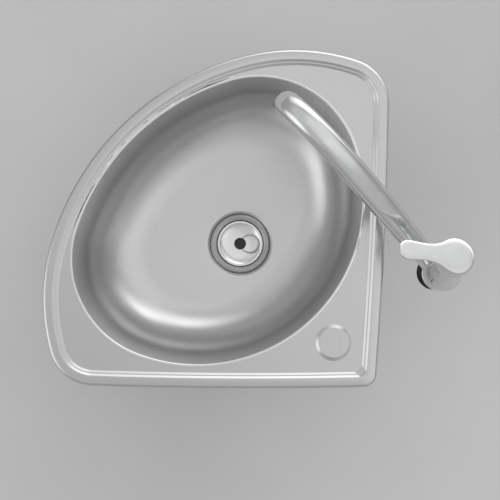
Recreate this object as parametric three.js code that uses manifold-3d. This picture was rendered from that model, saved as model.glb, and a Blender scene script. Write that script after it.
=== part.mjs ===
// A quadrant corner sink of pressed stainless steel with its basket waste and a
// single-lever mixer that stands beside it on the worktop.
// Millimetres, +Z up. The origin is on the axis of the waste, at the level of the worktop.
// p runs along the sink's diagonal from its square corner, q across the diagonal.
import * as THREE from "three";
import { mergeVertices } from "three/addons/utils/BufferGeometryUtils.js";
import Module from "manifold-3d";

const wasm = await Module();
wasm.setup();

const degrees = Math.PI / 180;
const GAP = 0.3; // between pieces that touch
const STEEL = 0.8; // pressed sheet
const WORKTOP = 38; // thickness that the clamps and the tap's shank grip

// The sink's outline, from its square corner to the top of its front arc.
const WASTE_FROM_CORNER = 285;
const CORNER_RADIUS = 14;
const CORNER_TURN = 42.1;
const SIDE_LENGTH = 401;
const SIDE_BOW_RADIUS = 6560;
const END_RADIUS = 66.6;
const END_TURN = 72.2;
const SHOULDER_RADIUS = 290;
const SHOULDER_TURN = 32;
const LEAST_BEND = 2.5; // radius of a line that is pressed round the square corner

// The rim: a lip turned down to the worktop, a crown and a slope to the deck.
const DECK_TOP = 1.5;
const LIP_BOTTOM = 0.5;
const LIP_WIDTH = 7;
const LIP_HEIGHT = 4.6;
const CROWN_HEIGHT = 5.6;
const CROWN_WIDTH = 16.2;
const SLOPE_WIDTH = 23.5;
const SEAL_INSET = 3;
const SEAL_WIDTH = 10;

// The tap landing, pressed up in the square corner.
const LANDING_FROM_CORNER = 85;
const LANDING_RADIUS = 26;
const LANDING_TOP_RADIUS = 20;
const LANDING_HEIGHT = 1.1;

// The bowl.
const BOWL_FROM_CORNER = 134;
const BOWL_BACK_RADIUS = 241;
const BOWL_BACK_TURN = 64.3;
const BOWL_SIDE_RADIUS = 146;
const BOWL_SIDE_TURN = 89;
const BOWL_ROLL = 3.5; // bend from the deck into the bowl
const COLLAR_DEPTH = 8.5; // of the deck's turned-down collar, from the deck's top
const BOWL_DEPTH = 160;
const WALL_DRAFT = 6;
const FOOT_RADIUS = 88; // between the wall and the bottom
const BOTTOM_SLOPE = 2.2;
const RECESS_DEPTH = 4.5;

// The waste. Its cup sets the sizes of the outlet, the recess, the plug and the seals.
const CUP_RADIUS = 38;
const CUP_WALL = 1.3;
const CUP_DEPTH = 23;
const CUP_CONE = 6; // height of the cone that the stopper closes
const THROAT = 5.5; // height of the second cone, down to the tail's thread
const WASTE_WALL = 2.4;
const FLANGE_WIDTH = 9.5;
const FLANGE_THICKNESS = 1.6;
const FLANGE_RADIUS = CUP_RADIUS + FLANGE_WIDTH;
const RECESS_FLOOR_RADIUS = FLANGE_RADIUS + 0.5;
const RECESS_RADIUS = RECESS_FLOOR_RADIUS + 3.5;
const OUTLET_RADIUS = CUP_RADIUS + CUP_WALL + 1.7;
const GASKET = 1.2;
const LOWER_GASKET = 2;
const FRICTION_WASHER = 0.8;
const LOCKNUT_RADIUS = CUP_RADIUS + 12;
const LOCKNUT_HEIGHT = 8;
const LOCKNUT_LUGS = 8;
const TAIL_RADIUS = 16;
const TAIL_BORE = TAIL_RADIUS - 1.5;
const TAIL_LENGTH = 38;
const TAIL_FLANGE = 1.9;
const TAIL_WASHER = 1.5;
const TAIL_THREAD_RADIUS = TAIL_RADIUS + 4.9;
const TAIL_THREAD_BORE = TAIL_THREAD_RADIUS - WASTE_WALL;
const TAIL_THREAD_LENGTH = 26;
const COUPLING_GRIP = 16; // of the coupling nut on the thread
const PAD_INNER = LOCKNUT_RADIUS + 10;
const PAD_WIDTH = 36;
const PAD_THICKNESS = 2.5;
const PAD_GLUE = 0.4; // between the pad and the bowl, besides the gap

// The basket plug, its knob and its pull ring.
const DISH_RADIUS = CUP_RADIUS - 1.3;
const DISH_DEPTH = 5.9;
const BASKET_RADIUS = CUP_RADIUS - 5;
const BASKET_HEIGHT = CUP_DEPTH + 1.7;
const BASKET_SLOTS = 8;
const SLOT_WIDTH = 3.2;
const KNOB_RADIUS = 9.3;
const KNOB_STEM_RADIUS = 4;
const STOPPER_RADIUS = BASKET_RADIUS - 5.5;
const STOPPER_THICKNESS = 3.1;
const RING_REACH = DISH_RADIUS - 5.7; // from the knob's axis
const RING_RADIUS = (RING_REACH - 3) / 2;
const RING_CENTRE = RING_REACH - RING_RADIUS;
const RING_WIRE = 1;
const RING_PIVOT = 4.5;
const RING_REST_TILT = 5;

// The clamps under the deck.
const CLAMP_INSET = 36;
const CLAMP_ON_SIDE = 78; // from the square corner, along each side
const CLAMP_ON_END = 0.45; // share of the end corner's turn
const CLAW_REACH = 30;
const CLAW_WIDTH = 11;
const CLAW_THICKNESS = 2;
const CLAMP_SCREW_RADIUS = 2;
const CLAMP_WIDTH = 14;
const BRACKET_SHEET = 1.2;
const BRACKET_DEPTH = 21; // of its web below the worktop's top

// The mixer. Its inlets set the shank and its head sets the cartridge and the cap.
const TAP_X = 292.6;
const TAP_Y = -36.3;
const INLET_RADIUS = 4.8;
const INLET_BORE = 3.2;
const INLET_SPACING = 2 * INLET_RADIUS + 0.8;
const INLET_DROP = 26;
const SHANK_BORE = INLET_SPACING / 2 + INLET_RADIUS + 1;
const SPIGOT_RADIUS = SHANK_BORE + 3;
const SPIGOT_HEIGHT = 11;
const SHANK_RADIUS = SPIGOT_RADIUS + 2.5;
const SHANK_LENGTH = WORKTOP + 22;
const SHANK_WASHER = 3;
const BACKING_PLATE = 1.5;
const FIXING_NUT_HEIGHT = 9;
const FIXING_NUT_FLATS = 2 * SHANK_RADIUS + 11;
const CORE_RADIUS = SPIGOT_RADIUS + 5;
const COLLAR_BORE = CORE_RADIUS + 3;
const COLLAR_RADIUS = COLLAR_BORE + 3.5;
const COLLAR_HEIGHT = 28;
const BASE_RADIUS = COLLAR_RADIUS + 0.5;
const BASE_HEIGHT = 6;
const BASE_SEAL = 1.2;
const BUSH_HEIGHT = 1.5;
const SPOUT_SEAL_HEIGHT = 3;
const SPOUT_AZIMUTH = 136.5;
const SPOUT_WALL = 2.5;
const AERATOR_RADIUS = 13;
const AERATOR_LENGTH = 10;
const AERATOR_WALL = 1.5;
const HEAD_PIVOT = 38; // height at which the head starts to lean
const HEAD_LEAN = 18;
const HEAD_NECK = 18; // from the pivot to where the head is straight
const HEAD_RADIUS = 22.6;
const HEAD_TOP = 57.5;
const HEAD_WALL = 2.3;
const CARTRIDGE_RADIUS = HEAD_RADIUS - HEAD_WALL - 2.5;
const CARTRIDGE_FLOOR = 20;
const CARTRIDGE_SHOULDER = HEAD_TOP - 12;
const CARTRIDGE_NECK = 12;
const ROTOR_RADIUS = 10;
const KNUCKLE_RADIUS = 3.7;
const STEM_WIDTH = 8;
const STEM_DEPTH = 7.2;
const PIN_RADIUS = 1.5;
const CAP_RADIUS = HEAD_RADIUS + 3.4;
const CAP_WALL = 2;
const CAP_CEILING = 2.5;
const CAP_RISE = 22.3; // from the lift axis to the cap's top
const CAP_SKIRT = 78; // degrees from the top to the cap's edge
const SHROUD_RADIUS = CAP_RADIUS - CAP_WALL - 0.7;
const SHROUD_WALL = 1.5;
const SHROUD_MOUTH = 54;
const LEVER_AZIMUTH = 177;
const LEVER_REACH = 79;
const LEVER_NECK_WIDTH = 22.5;
const LEVER_END_WIDTH = 25;
const LEVER_THICKNESS = 6;
const LEVER_RISE = 9;
const GRUB_RADIUS = 2;
const GRUB_LENGTH = 9;
const PLUG_LENGTH = 3;

// Heights that follow from those sizes.
const floorTop = DECK_TOP - BOWL_DEPTH; // at the edge of the recess
const seatTop = floorTop - RECESS_DEPTH;
const seatUnder = seatTop - STEEL;
const flangeUnder = seatTop + GAP + GASKET + GAP;
const flangeTop = flangeUnder + FLANGE_THICKNESS;
const cupFloor = flangeTop - 1.8 - CUP_DEPTH;
const coneFoot = cupFloor - CUP_CONE;
const throat = coneFoot - THROAT;
const threadEnd = throat - TAIL_THREAD_LENGTH;
const dishTop = flangeTop - 1.7;
const basketFloor = dishTop - BASKET_HEIGHT;
const stopperTop = basketFloor - GAP;
const knobTop = dishTop + 0.1;
const ringPivotZ = knobTop - 2.4;
const baseUnder = BASE_SEAL + GAP;
const baseTop = baseUnder + BASE_HEIGHT;
const collarUnder = baseTop + GAP + BUSH_HEIGHT + GAP;
const collarTop = collarUnder + COLLAR_HEIGHT;
const rotorLow = HEAD_TOP - 0.5 + GAP;
const rotorTop = rotorLow + 2.4;
const liftAxis = rotorTop + GAP + KNUCKLE_RADIUS;
const capTop = liftAxis + CAP_RISE;

// Finishes.
const finish = (colour, roughness, metalness) => ({ colour, roughness, metalness });
const SATIN_STEEL = finish(0xb9babc, 0.34, 1);
const POLISHED_STEEL = finish(0xd9dadb, 0.08, 1);
const CHROME = finish(0xdfe1e4, 0.05, 1);
const BRASS = finish(0xb99a4e, 0.35, 1);
const ZINC = finish(0x9b9da0, 0.45, 1);
const RUBBER = finish(0x1b1b1c, 0.8, 0);
const FOAM = finish(0x2a2a2b, 0.95, 0);
const WHITE_PLASTIC = finish(0xe4e3dd, 0.5, 0);
const BLACK_PLASTIC = finish(0x161617, 0.4, 0);

const root = new THREE.Group();

function addPiece(name, geometry, look, parent = root) {
  const { colour, roughness, metalness } = look;
  geometry.computeVertexNormals();
  const material = new THREE.MeshStandardMaterial({ color: colour, roughness, metalness });
  const mesh = new THREE.Mesh(geometry, material);
  mesh.name = name;
  parent.add(mesh);
  return mesh;
}

// ---- joining and cutting -------------------------------------------------------

function solid(geometry) {
  const bare = new THREE.BufferGeometry();
  const flat = geometry.index ? geometry.toNonIndexed() : geometry;
  bare.setAttribute("position", flat.getAttribute("position").clone());
  const merged = mergeVertices(bare, 1e-4);
  const vertProperties = new Float32Array(merged.attributes.position.array);
  const triVerts = new Uint32Array(merged.index.array);
  return new wasm.Manifold(new wasm.Mesh({ numProp: 3, vertProperties, triVerts }));
}

function geometryOf(made) {
  const { vertProperties, triVerts } = made.getMesh();
  const geometry = new THREE.BufferGeometry();
  geometry.setAttribute("position", new THREE.BufferAttribute(vertProperties, 3));
  geometry.setIndex(new THREE.BufferAttribute(triVerts, 1));
  return geometry.toNonIndexed();
}

const join = (...geometries) =>
  geometryOf(geometries.map(solid).reduce((sum, next) => sum.add(next)));

const cut = (geometry, ...tools) =>
  geometryOf(tools.map(solid).reduce((rest, tool) => rest.subtract(tool), solid(geometry)));

// ---- simple solids ------------------------------------------------------------

// A profile of [radius, height] pairs turned about Z. It closes on itself or on the axis.
function turned(profile, segments = 24) {
  const points = profile.map(([r, z]) => new THREE.Vector2(r, z));
  const onAxis = profile[0][0] === 0 && profile.at(-1)[0] === 0;
  if (!onAxis) points.push(points[0].clone());
  if (THREE.ShapeUtils.area(points) < 0) points.reverse();
  return new THREE.LatheGeometry(points, segments).rotateX(Math.PI / 2);
}

const ring = (inner, outer, low, high, segments = 24) =>
  turned([[inner, low], [outer, low], [outer, high], [inner, high]], segments);

const rod = (radius, low, high, segments = 20) =>
  turned([[0, low], [radius, low], [radius, high], [0, high]], segments);

const box = (x, y, z, width, depth, height) =>
  new THREE.BoxGeometry(width, depth, height).translate(x, y, z + height / 2);

function hexNut(acrossFlats, bore, low, high) {
  const corner = acrossFlats / Math.sqrt(3);
  return cut(rod(corner, low, high, 6), rod(bore, low - 1, high + 1));
}

// A surface of triangles between rings of points. Rings run anticlockwise seen from above,
// and go from the outside in over the top and from the inside out underneath.
class Skin {
  positions = [];

  triangle(...corners) {
    for (const c of corners) this.positions.push(c.x, c.y, c.z);
  }

  strip(from, to) {
    from.forEach((a, i) => {
      const j = (i + 1) % from.length;
      this.triangle(a, from[j], to[j]);
      this.triangle(a, to[j], to[i]);
    });
  }

  strips(rings) {
    for (let i = 1; i < rings.length; i += 1) this.strip(rings[i - 1], rings[i]);
  }

  // The flat part between an outer and an inner ring at one height.
  panel(outer, inner, facesUp) {
    const flat = (points) => points.map((p) => new THREE.Vector2(p.x, p.y));
    const all = [...outer, ...inner];
    for (const [a, b, c] of THREE.ShapeUtils.triangulateShape(flat(outer), [flat(inner)])) {
      const corners = [all[a], all[b], all[c]];
      const turn = THREE.ShapeUtils.area(flat(corners));
      if (turn > 0 === facesUp) this.triangle(...corners);
      else this.triangle(...corners.reverse());
    }
  }

  cap(points, reversed) {
    const middle = points.reduce((sum, p) => sum.add(p), new THREE.Vector3());
    middle.divideScalar(points.length);
    points.forEach((p, i) => {
      const next = points[(i + 1) % points.length];
      if (reversed) this.triangle(middle, next, p);
      else this.triangle(middle, p, next);
    });
  }

  geometry() {
    const made = new THREE.BufferGeometry();
    made.setAttribute("position", new THREE.Float32BufferAttribute(this.positions, 3));
    return made;
  }
}

// A solid with flat ends through rings that are stacked along a line.
function loft(rings) {
  const skin = new Skin();
  skin.cap(rings[0], true);
  skin.strips(rings);
  skin.cap(rings.at(-1), false);
  const made = skin.geometry();
  return solid(made).volume() < 0 ? turnedInsideOut(made) : made;
}

function turnedInsideOut(geometry) {
  const p = geometry.getAttribute("position").array;
  for (let i = 0; i < p.length; i += 9) {
    for (let k = 0; k < 3; k += 1) [p[i + 3 + k], p[i + 6 + k]] = [p[i + 6 + k], p[i + 3 + k]];
  }
  return geometry;
}

// ---- outlines in the sink's plane ----------------------------------------------

// The point at p, q and height z.
function at(p, q, z) {
  const along = p - WASTE_FROM_CORNER;
  return new THREE.Vector3((q - along) * Math.SQRT1_2, (q + along) * Math.SQRT1_2, z);
}

// Half an outline as arcs that follow each other smoothly, from the diagonal near the square
// corner to the diagonal at the front. The last arc's radius closes it on the diagonal.
function halfOutline(start, arcs) {
  let turn = 0;
  let end = new THREE.Vector2(start, 0);
  return arcs.map((arc, i) => {
    const last = i === arcs.length - 1;
    const radius = last ? end.y / Math.sin(turn) : arc.radius;
    const from = turn;
    const to = last ? Math.PI : from + arc.turn * degrees;
    const centre = new THREE.Vector2(end.x + radius * Math.cos(from), end.y - radius * Math.sin(from));
    turn = to;
    end = new THREE.Vector2(centre.x - radius * Math.cos(to), centre.y + radius * Math.sin(to));
    return { radius, centre, from, to, steps: arc.steps };
  });
}

const sinkOutline = halfOutline(0, [
  { radius: CORNER_RADIUS, turn: CORNER_TURN, steps: 2 },
  { radius: SIDE_BOW_RADIUS, turn: SIDE_LENGTH / SIDE_BOW_RADIUS / degrees, steps: 3 },
  { radius: END_RADIUS, turn: END_TURN, steps: 6 },
  { radius: SHOULDER_RADIUS, turn: SHOULDER_TURN, steps: 4 },
  { steps: 4 },
]);

const bowlOutline = halfOutline(BOWL_FROM_CORNER, [
  { radius: BOWL_BACK_RADIUS, turn: BOWL_BACK_TURN, steps: 7 },
  { radius: BOWL_SIDE_RADIUS, turn: BOWL_SIDE_TURN, steps: 10 },
  { steps: 4 },
]);

// The same arcs moved inwards. Where the square corner's arc would vanish, a small bend takes
// its place that still meets the side's arc smoothly.
function moved(outline, inset) {
  const arcs = outline.map((arc) => ({ ...arc, radius: arc.radius - inset }));
  const [corner, side] = arcs;
  if (corner.radius >= LEAST_BEND) return arcs;
  const far = side.radius - LEAST_BEND;
  const turn = Math.asin(-side.centre.y / far);
  corner.radius = LEAST_BEND;
  corner.centre = new THREE.Vector2(side.centre.x - far * Math.cos(turn), 0);
  corner.to = turn;
  side.from = turn;
  return arcs;
}

const onArc = (arc, turn) => [
  arc.centre.x - arc.radius * Math.cos(turn),
  arc.centre.y + arc.radius * Math.sin(turn),
];

// The closed ring of an outline, moved inwards and at a height.
function outlineRing(outline, inset, z) {
  const half = [];
  for (const arc of moved(outline, inset)) {
    for (let i = half.length ? 1 : 0; i <= arc.steps; i += 1) {
      half.push(onArc(arc, arc.from + ((arc.to - arc.from) * i) / arc.steps));
    }
  }
  const other = half.slice(1, -1).reverse();
  return [...half.map(([p, q]) => at(p, q, z)), ...other.map(([p, q]) => at(p, -q, z))];
}

// ---- the sink --------------------------------------------------------------------

// The rim's top from its outer edge inwards, as [inset, height] pairs.
function rimTop(thickness) {
  const points = [];
  const steps = 3;
  for (let i = 0; i <= steps; i += 1) {
    const turn = (i / steps) * 90 * degrees;
    const width = LIP_WIDTH - thickness;
    points.push([
      LIP_WIDTH - width * Math.cos(turn),
      LIP_BOTTOM + (LIP_HEIGHT - thickness) * Math.sin(turn),
    ]);
  }
  points.push([CROWN_WIDTH - thickness * 0.3, CROWN_HEIGHT - thickness]);
  points.push([CROWN_WIDTH + 1.6 - thickness * 0.4, CROWN_HEIGHT - 0.9 - thickness]);
  points.push([SLOPE_WIDTH - 1.6 - thickness * 0.4, DECK_TOP + 0.5 - thickness]);
  points.push([SLOPE_WIDTH, DECK_TOP - thickness]);
  return points;
}

// The bend from the deck into the bowl, as [inset from the bowl's outline, height] pairs.
function collarBend(thickness) {
  const points = [];
  const steps = 2;
  const radius = BOWL_ROLL - thickness;
  for (let i = 0; i <= steps; i += 1) {
    const turn = (i / steps) * 90 * degrees;
    points.push([
      -BOWL_ROLL + radius * Math.sin(turn),
      DECK_TOP - BOWL_ROLL + radius * Math.cos(turn),
    ]);
  }
  points.push([-thickness, DECK_TOP - COLLAR_DEPTH]);
  return points;
}

function makeDeck() {
  const rim = (thickness) => rimTop(thickness).map(([o, z]) => outlineRing(sinkOutline, o, z));
  const bend = (thickness) => collarBend(thickness).map(([o, z]) => outlineRing(bowlOutline, o, z));
  const [overRim, underRim, overBend, underBend] = [rim(0), rim(STEEL), bend(0), bend(STEEL)];
  const skin = new Skin();
  skin.strips(overRim);
  skin.panel(overRim.at(-1), overBend[0], true);
  skin.strips([...overBend, ...underBend.reverse()]);
  skin.panel(underRim.at(-1), underBend.at(-1), false);
  skin.strips([...underRim.reverse(), overRim[0]]);
  const landing = turned([
    [0, DECK_TOP - STEEL / 2],
    [LANDING_RADIUS, DECK_TOP - STEEL / 2],
    [LANDING_RADIUS, DECK_TOP],
    [LANDING_TOP_RADIUS, DECK_TOP + LANDING_HEIGHT],
    [0, DECK_TOP + LANDING_HEIGHT],
  ]);
  const { x, y } = at(LANDING_FROM_CORNER, 0, 0);
  addPiece("sink_deck", join(skin.geometry(), landing.translate(x, y, 0)), SATIN_STEEL);
}

// The bowl's section on a ray from the waste's axis to the rim at a distance reach, as
// [radius, height] pairs from the rim to the outlet, for a surface lowered by drop.
function bowlSection(reach, drop) {
  const draft = WALL_DRAFT * degrees;
  const slope = BOTTOM_SLOPE * degrees;
  const top = DECK_TOP - COLLAR_DEPTH - GAP;
  const room = reach - RECESS_RADIUS - 14;
  const radius = Math.min(FOOT_RADIUS, room) + drop;
  const wall = new THREE.Vector2(-Math.cos(draft), Math.sin(draft)); // into the bowl
  const bottom = new THREE.Vector2(-Math.sin(slope), Math.cos(slope)); // up from the bottom
  const wallAt = wall.x * reach + wall.y * top + radius;
  const bottomAt = bottom.x * RECESS_RADIUS + bottom.y * (floorTop - drop) + radius;
  const cross = wall.x * bottom.y - wall.y * bottom.x;
  const centreR = (wallAt * bottom.y - wall.y * bottomAt) / cross;
  const centreZ = (wall.x * bottomAt - wallAt * bottom.x) / cross;
  const points = [[reach, top]];
  const steps = 5;
  const first = Math.atan2(-wall.y, -wall.x);
  const last = Math.atan2(-bottom.y, -bottom.x);
  for (let i = 0; i <= steps; i += 1) {
    const turn = first + ((last - first) * i) / steps;
    points.push([centreR + radius * Math.cos(turn), centreZ + radius * Math.sin(turn)]);
  }
  points.push([RECESS_RADIUS + 1.5 + drop, floorTop - drop]);
  points.push([RECESS_RADIUS + drop * 0.6, floorTop - 1 - drop]);
  points.push([RECESS_FLOOR_RADIUS + 0.6 + drop * 0.6, seatTop + 0.6 - drop]);
  points.push([RECESS_FLOOR_RADIUS - 0.6, seatTop - drop]);
  points.push([OUTLET_RADIUS, seatTop - drop]);
  return points;
}

// The height of a bowl section at a radius.
function heightAt(section, radius) {
  const i = section.findIndex(([r], k) => k > 0 && r <= radius);
  const [[r1, z1], [r2, z2]] = [section[i - 1], section[i]];
  return z1 + ((z2 - z1) * (radius - r1)) / (r2 - r1);
}

// Rings of a bowl surface, one for each point of its section.
function bowlRings(drop) {
  const rim = outlineRing(bowlOutline, -drop, 0);
  const sections = rim.map((point) => bowlSection(point.length(), drop));
  return sections[0].map((unused, level) =>
    rim.map((point, i) => {
      const [r, z] = sections[i][level];
      return point.clone().setLength(r).setZ(z);
    }),
  );
}

function makeBowl() {
  const inside = bowlRings(0);
  const outside = bowlRings(STEEL).reverse();
  const skin = new Skin();
  skin.strips([...inside, ...outside, inside[0]]);
  addPiece("sink_bowl", skin.geometry(), SATIN_STEEL);
}

// The damping pad follows the bowl's underside round the outlet.
function makeSoundPad() {
  const rim = outlineRing(bowlOutline, -STEEL, 0);
  const sections = rim.map((point) => bowlSection(point.length(), STEEL));
  const steps = 4;
  const radii = Array.from({ length: steps + 1 }, (unused, i) =>
    PAD_INNER + PAD_WIDTH * (1 - i / steps),
  );
  const sag = GAP + PAD_GLUE + Math.max(...sections.map((section) => padSag(section, radii)));
  const padRing = (radius, drop) =>
    rim.map((point, i) => point.clone().setLength(radius).setZ(heightAt(sections[i], radius) - drop));
  const over = radii.map((radius) => padRing(radius, sag));
  const under = radii.map((radius) => padRing(radius, sag + PAD_THICKNESS)).reverse();
  const skin = new Skin();
  skin.strips([...over, ...under, over[0]]);
  addPiece("sound_pad", skin.geometry(), FOAM);
}

// How far straight lines between the pad's radii rise above a section of the bowl's underside.
function padSag(section, radii) {
  const rises = section.map(([r, z]) => {
    const i = radii.findIndex((radius, k) => k > 0 && radius <= r && r <= radii[k - 1]);
    if (i < 0) return 0;
    const [outer, inner] = [radii[i - 1], radii[i]];
    const share = (r - inner) / (outer - inner);
    return heightAt(section, inner) * (1 - share) + heightAt(section, outer) * share - z;
  });
  return Math.max(...rises);
}

// The foam strip between the rim and the worktop.
function makeRimSeal() {
  const under = rimTop(STEEL + GAP);
  const heightUnder = (inset) => {
    const i = under.findIndex(([o]) => o >= inset);
    const [[o1, z1], [o2, z2]] = [under[i - 1], under[i]];
    return z1 + ((z2 - z1) * (inset - o1)) / (o2 - o1);
  };
  const insets = [0, 0.25, 0.5, 1].map((share) => SEAL_INSET + SEAL_WIDTH * share);
  const ringAt = (inset, z) => outlineRing(sinkOutline, inset, z);
  const top = insets.map((inset) => ringAt(inset, heightUnder(inset) - GAP));
  const skin = new Skin();
  skin.strips([...top, ringAt(insets.at(-1), 0), ringAt(insets[0], 0), top[0]]);
  addPiece("rim_seal", skin.geometry(), FOAM);
}

// ---- the clamps --------------------------------------------------------------------

// Places one clamp: a point inset from the outline and the direction out to the edge.
function clampPlaces() {
  const [, side, end] = sinkOutline;
  const share = CLAMP_ON_SIDE / SIDE_LENGTH;
  const spots = [
    { arc: side, turn: side.from + (side.to - side.from) * share },
    { arc: end, turn: end.from + (end.to - end.from) * CLAMP_ON_END },
  ];
  return spots.flatMap(({ arc, turn }) => {
    const [p, q] = onArc({ ...arc, radius: arc.radius - CLAMP_INSET }, turn);
    return [1, -1].map((half) => {
      const place = at(p, half * q, 0);
      const out = at(-Math.cos(turn), half * Math.sin(turn), 0).sub(at(0, 0, 0));
      return { place, heading: Math.atan2(out.y, out.x) };
    });
  });
}

function makeClamp(name, { place, heading }) {
  const clamp = new THREE.Group();
  clamp.position.copy(place);
  clamp.rotation.z = heading;
  root.add(clamp);
  const hole = rod(CLAMP_SCREW_RADIUS + GAP, -60, -6, 12);
  const plateTop = DECK_TOP - STEEL - GAP;
  const webBottom = -BRACKET_DEPTH;
  const bracket = join(
    box(-2, 0, plateTop - BRACKET_SHEET, 20, CLAMP_WIDTH, BRACKET_SHEET),
    box(-11.4, 0, webBottom, BRACKET_SHEET, CLAMP_WIDTH, plateTop - webBottom),
    box(-3.5, 0, webBottom, 17, CLAMP_WIDTH, 3),
  );
  addPiece(`${name}_bracket`, cut(bracket, hole), ZINC, clamp);
  const clawTop = -WORKTOP;
  const claw = join(
    rod(5.5, clawTop - 5, clawTop - CLAW_THICKNESS / 2, 16),
    box(CLAW_REACH / 2, 0, clawTop - CLAW_THICKNESS - 1, CLAW_REACH, CLAW_WIDTH, CLAW_THICKNESS),
    box(CLAW_REACH - 1, 0, clawTop - CLAW_THICKNESS - 0.5, 2, CLAW_WIDTH, CLAW_THICKNESS + 0.5),
  );
  addPiece(`${name}_claw`, cut(claw, hole), ZINC, clamp);
  const head = clawTop - 5 - GAP;
  const screw = turned(
    [[0, head - 3], [4.4, head - 3], [4.4, head], [CLAMP_SCREW_RADIUS, head],
      [CLAMP_SCREW_RADIUS, webBottom + 8], [0, webBottom + 8]],
    12,
  );
  const slot = box(0, 0, head - 4, 12, 1.2, 2.2);
  addPiece(`${name}_screw`, cut(screw, slot), ZINC, clamp);
}

// ---- the waste -----------------------------------------------------------------------

function makeWaste() {
  const outer = CUP_RADIUS + CUP_WALL;
  const gasketTop = flangeUnder - GAP;
  const flangeGasket =
    ring(OUTLET_RADIUS + 1.5, FLANGE_RADIUS - 0.5, gasketTop - GASKET, gasketTop, 28);
  addPiece("flange_gasket", flangeGasket, RUBBER);
  const body = [
    [FLANGE_RADIUS, flangeUnder],
    [FLANGE_RADIUS, flangeUnder + 1],
    [FLANGE_RADIUS - 1, flangeTop],
    [CUP_RADIUS + 2, flangeTop - 0.8],
    [CUP_RADIUS, flangeTop - 1.8],
    [CUP_RADIUS - 0.2, cupFloor],
    [STOPPER_RADIUS - 1.5, coneFoot],
    [TAIL_THREAD_BORE, throat],
    [TAIL_THREAD_BORE, threadEnd],
    [TAIL_THREAD_RADIUS, threadEnd],
    [TAIL_THREAD_RADIUS, throat - 4],
    [STOPPER_RADIUS, coneFoot - 3],
    [outer, cupFloor - 2.5],
    [outer, flangeUnder],
  ];
  addPiece("waste_body", turned(body, 28), POLISHED_STEEL);
  const gasketLow = seatUnder - GAP - LOWER_GASKET;
  const underRing = (low, height) => ring(outer + GAP, LOCKNUT_RADIUS - 1, low, low + height, 28);
  addPiece("lower_gasket", underRing(gasketLow, LOWER_GASKET), RUBBER);
  const washerLow = gasketLow - GAP - FRICTION_WASHER;
  addPiece("friction_washer", underRing(washerLow, FRICTION_WASHER), ZINC);
  makeLocknut(outer + GAP, washerLow - GAP);
  makeTail();
}

function makeLocknut(bore, top) {
  const low = top - LOCKNUT_HEIGHT;
  const lugs = Array.from({ length: LOCKNUT_LUGS }, (unused, i) =>
    box(LOCKNUT_RADIUS + 1.4, 0, low, 4.5, 6, LOCKNUT_HEIGHT - 1).rotateZ((i * 360 * degrees) / LOCKNUT_LUGS),
  );
  const nut = join(ring(bore, LOCKNUT_RADIUS, low, top, 28), ...lugs);
  addPiece("locknut", nut, WHITE_PLASTIC);
}

function makeTail() {
  const washerTop = threadEnd - GAP;
  const washerLow = washerTop - TAIL_WASHER;
  addPiece("tail_washer", ring(TAIL_BORE + 3, TAIL_THREAD_RADIUS - 0.4, washerLow, washerTop), RUBBER);
  const flange = washerLow - GAP;
  const flangeLow = flange - TAIL_FLANGE;
  const tail = turned([
    [TAIL_BORE, flange],
    [TAIL_THREAD_RADIUS - 0.6, flange],
    [TAIL_THREAD_RADIUS - 0.6, flangeLow],
    [TAIL_RADIUS, flangeLow],
    [TAIL_RADIUS, flange - TAIL_LENGTH],
    [TAIL_BORE, flange - TAIL_LENGTH],
  ]);
  addPiece("tailpiece", tail, WHITE_PLASTIC);
  const nutRadius = TAIL_THREAD_RADIUS + 4;
  const shoulder = flangeLow - GAP;
  const nut = turned([
    [TAIL_RADIUS + GAP, shoulder - 3],
    [nutRadius, shoulder - 3],
    [nutRadius, threadEnd + COUPLING_GRIP],
    [TAIL_THREAD_RADIUS + GAP, threadEnd + COUPLING_GRIP],
    [TAIL_THREAD_RADIUS + GAP, shoulder],
    [TAIL_RADIUS + GAP, shoulder],
  ]);
  const ribs = Array.from({ length: 6 }, (unused, i) =>
    box(nutRadius, 0, shoulder - 2, 3, 5, 14).rotateZ(i * 60 * degrees),
  );
  addPiece("coupling_nut", join(nut, ...ribs), WHITE_PLASTIC);
}

// ---- the basket plug --------------------------------------------------------------------

// The dish's top, as a height for each radius.
function dishHeight(radius) {
  const share = 1 - radius / (DISH_RADIUS - 0.5);
  return dishTop + 0.3 - DISH_DEPTH * (1 - (1 - share) ** 2.2);
}

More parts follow.
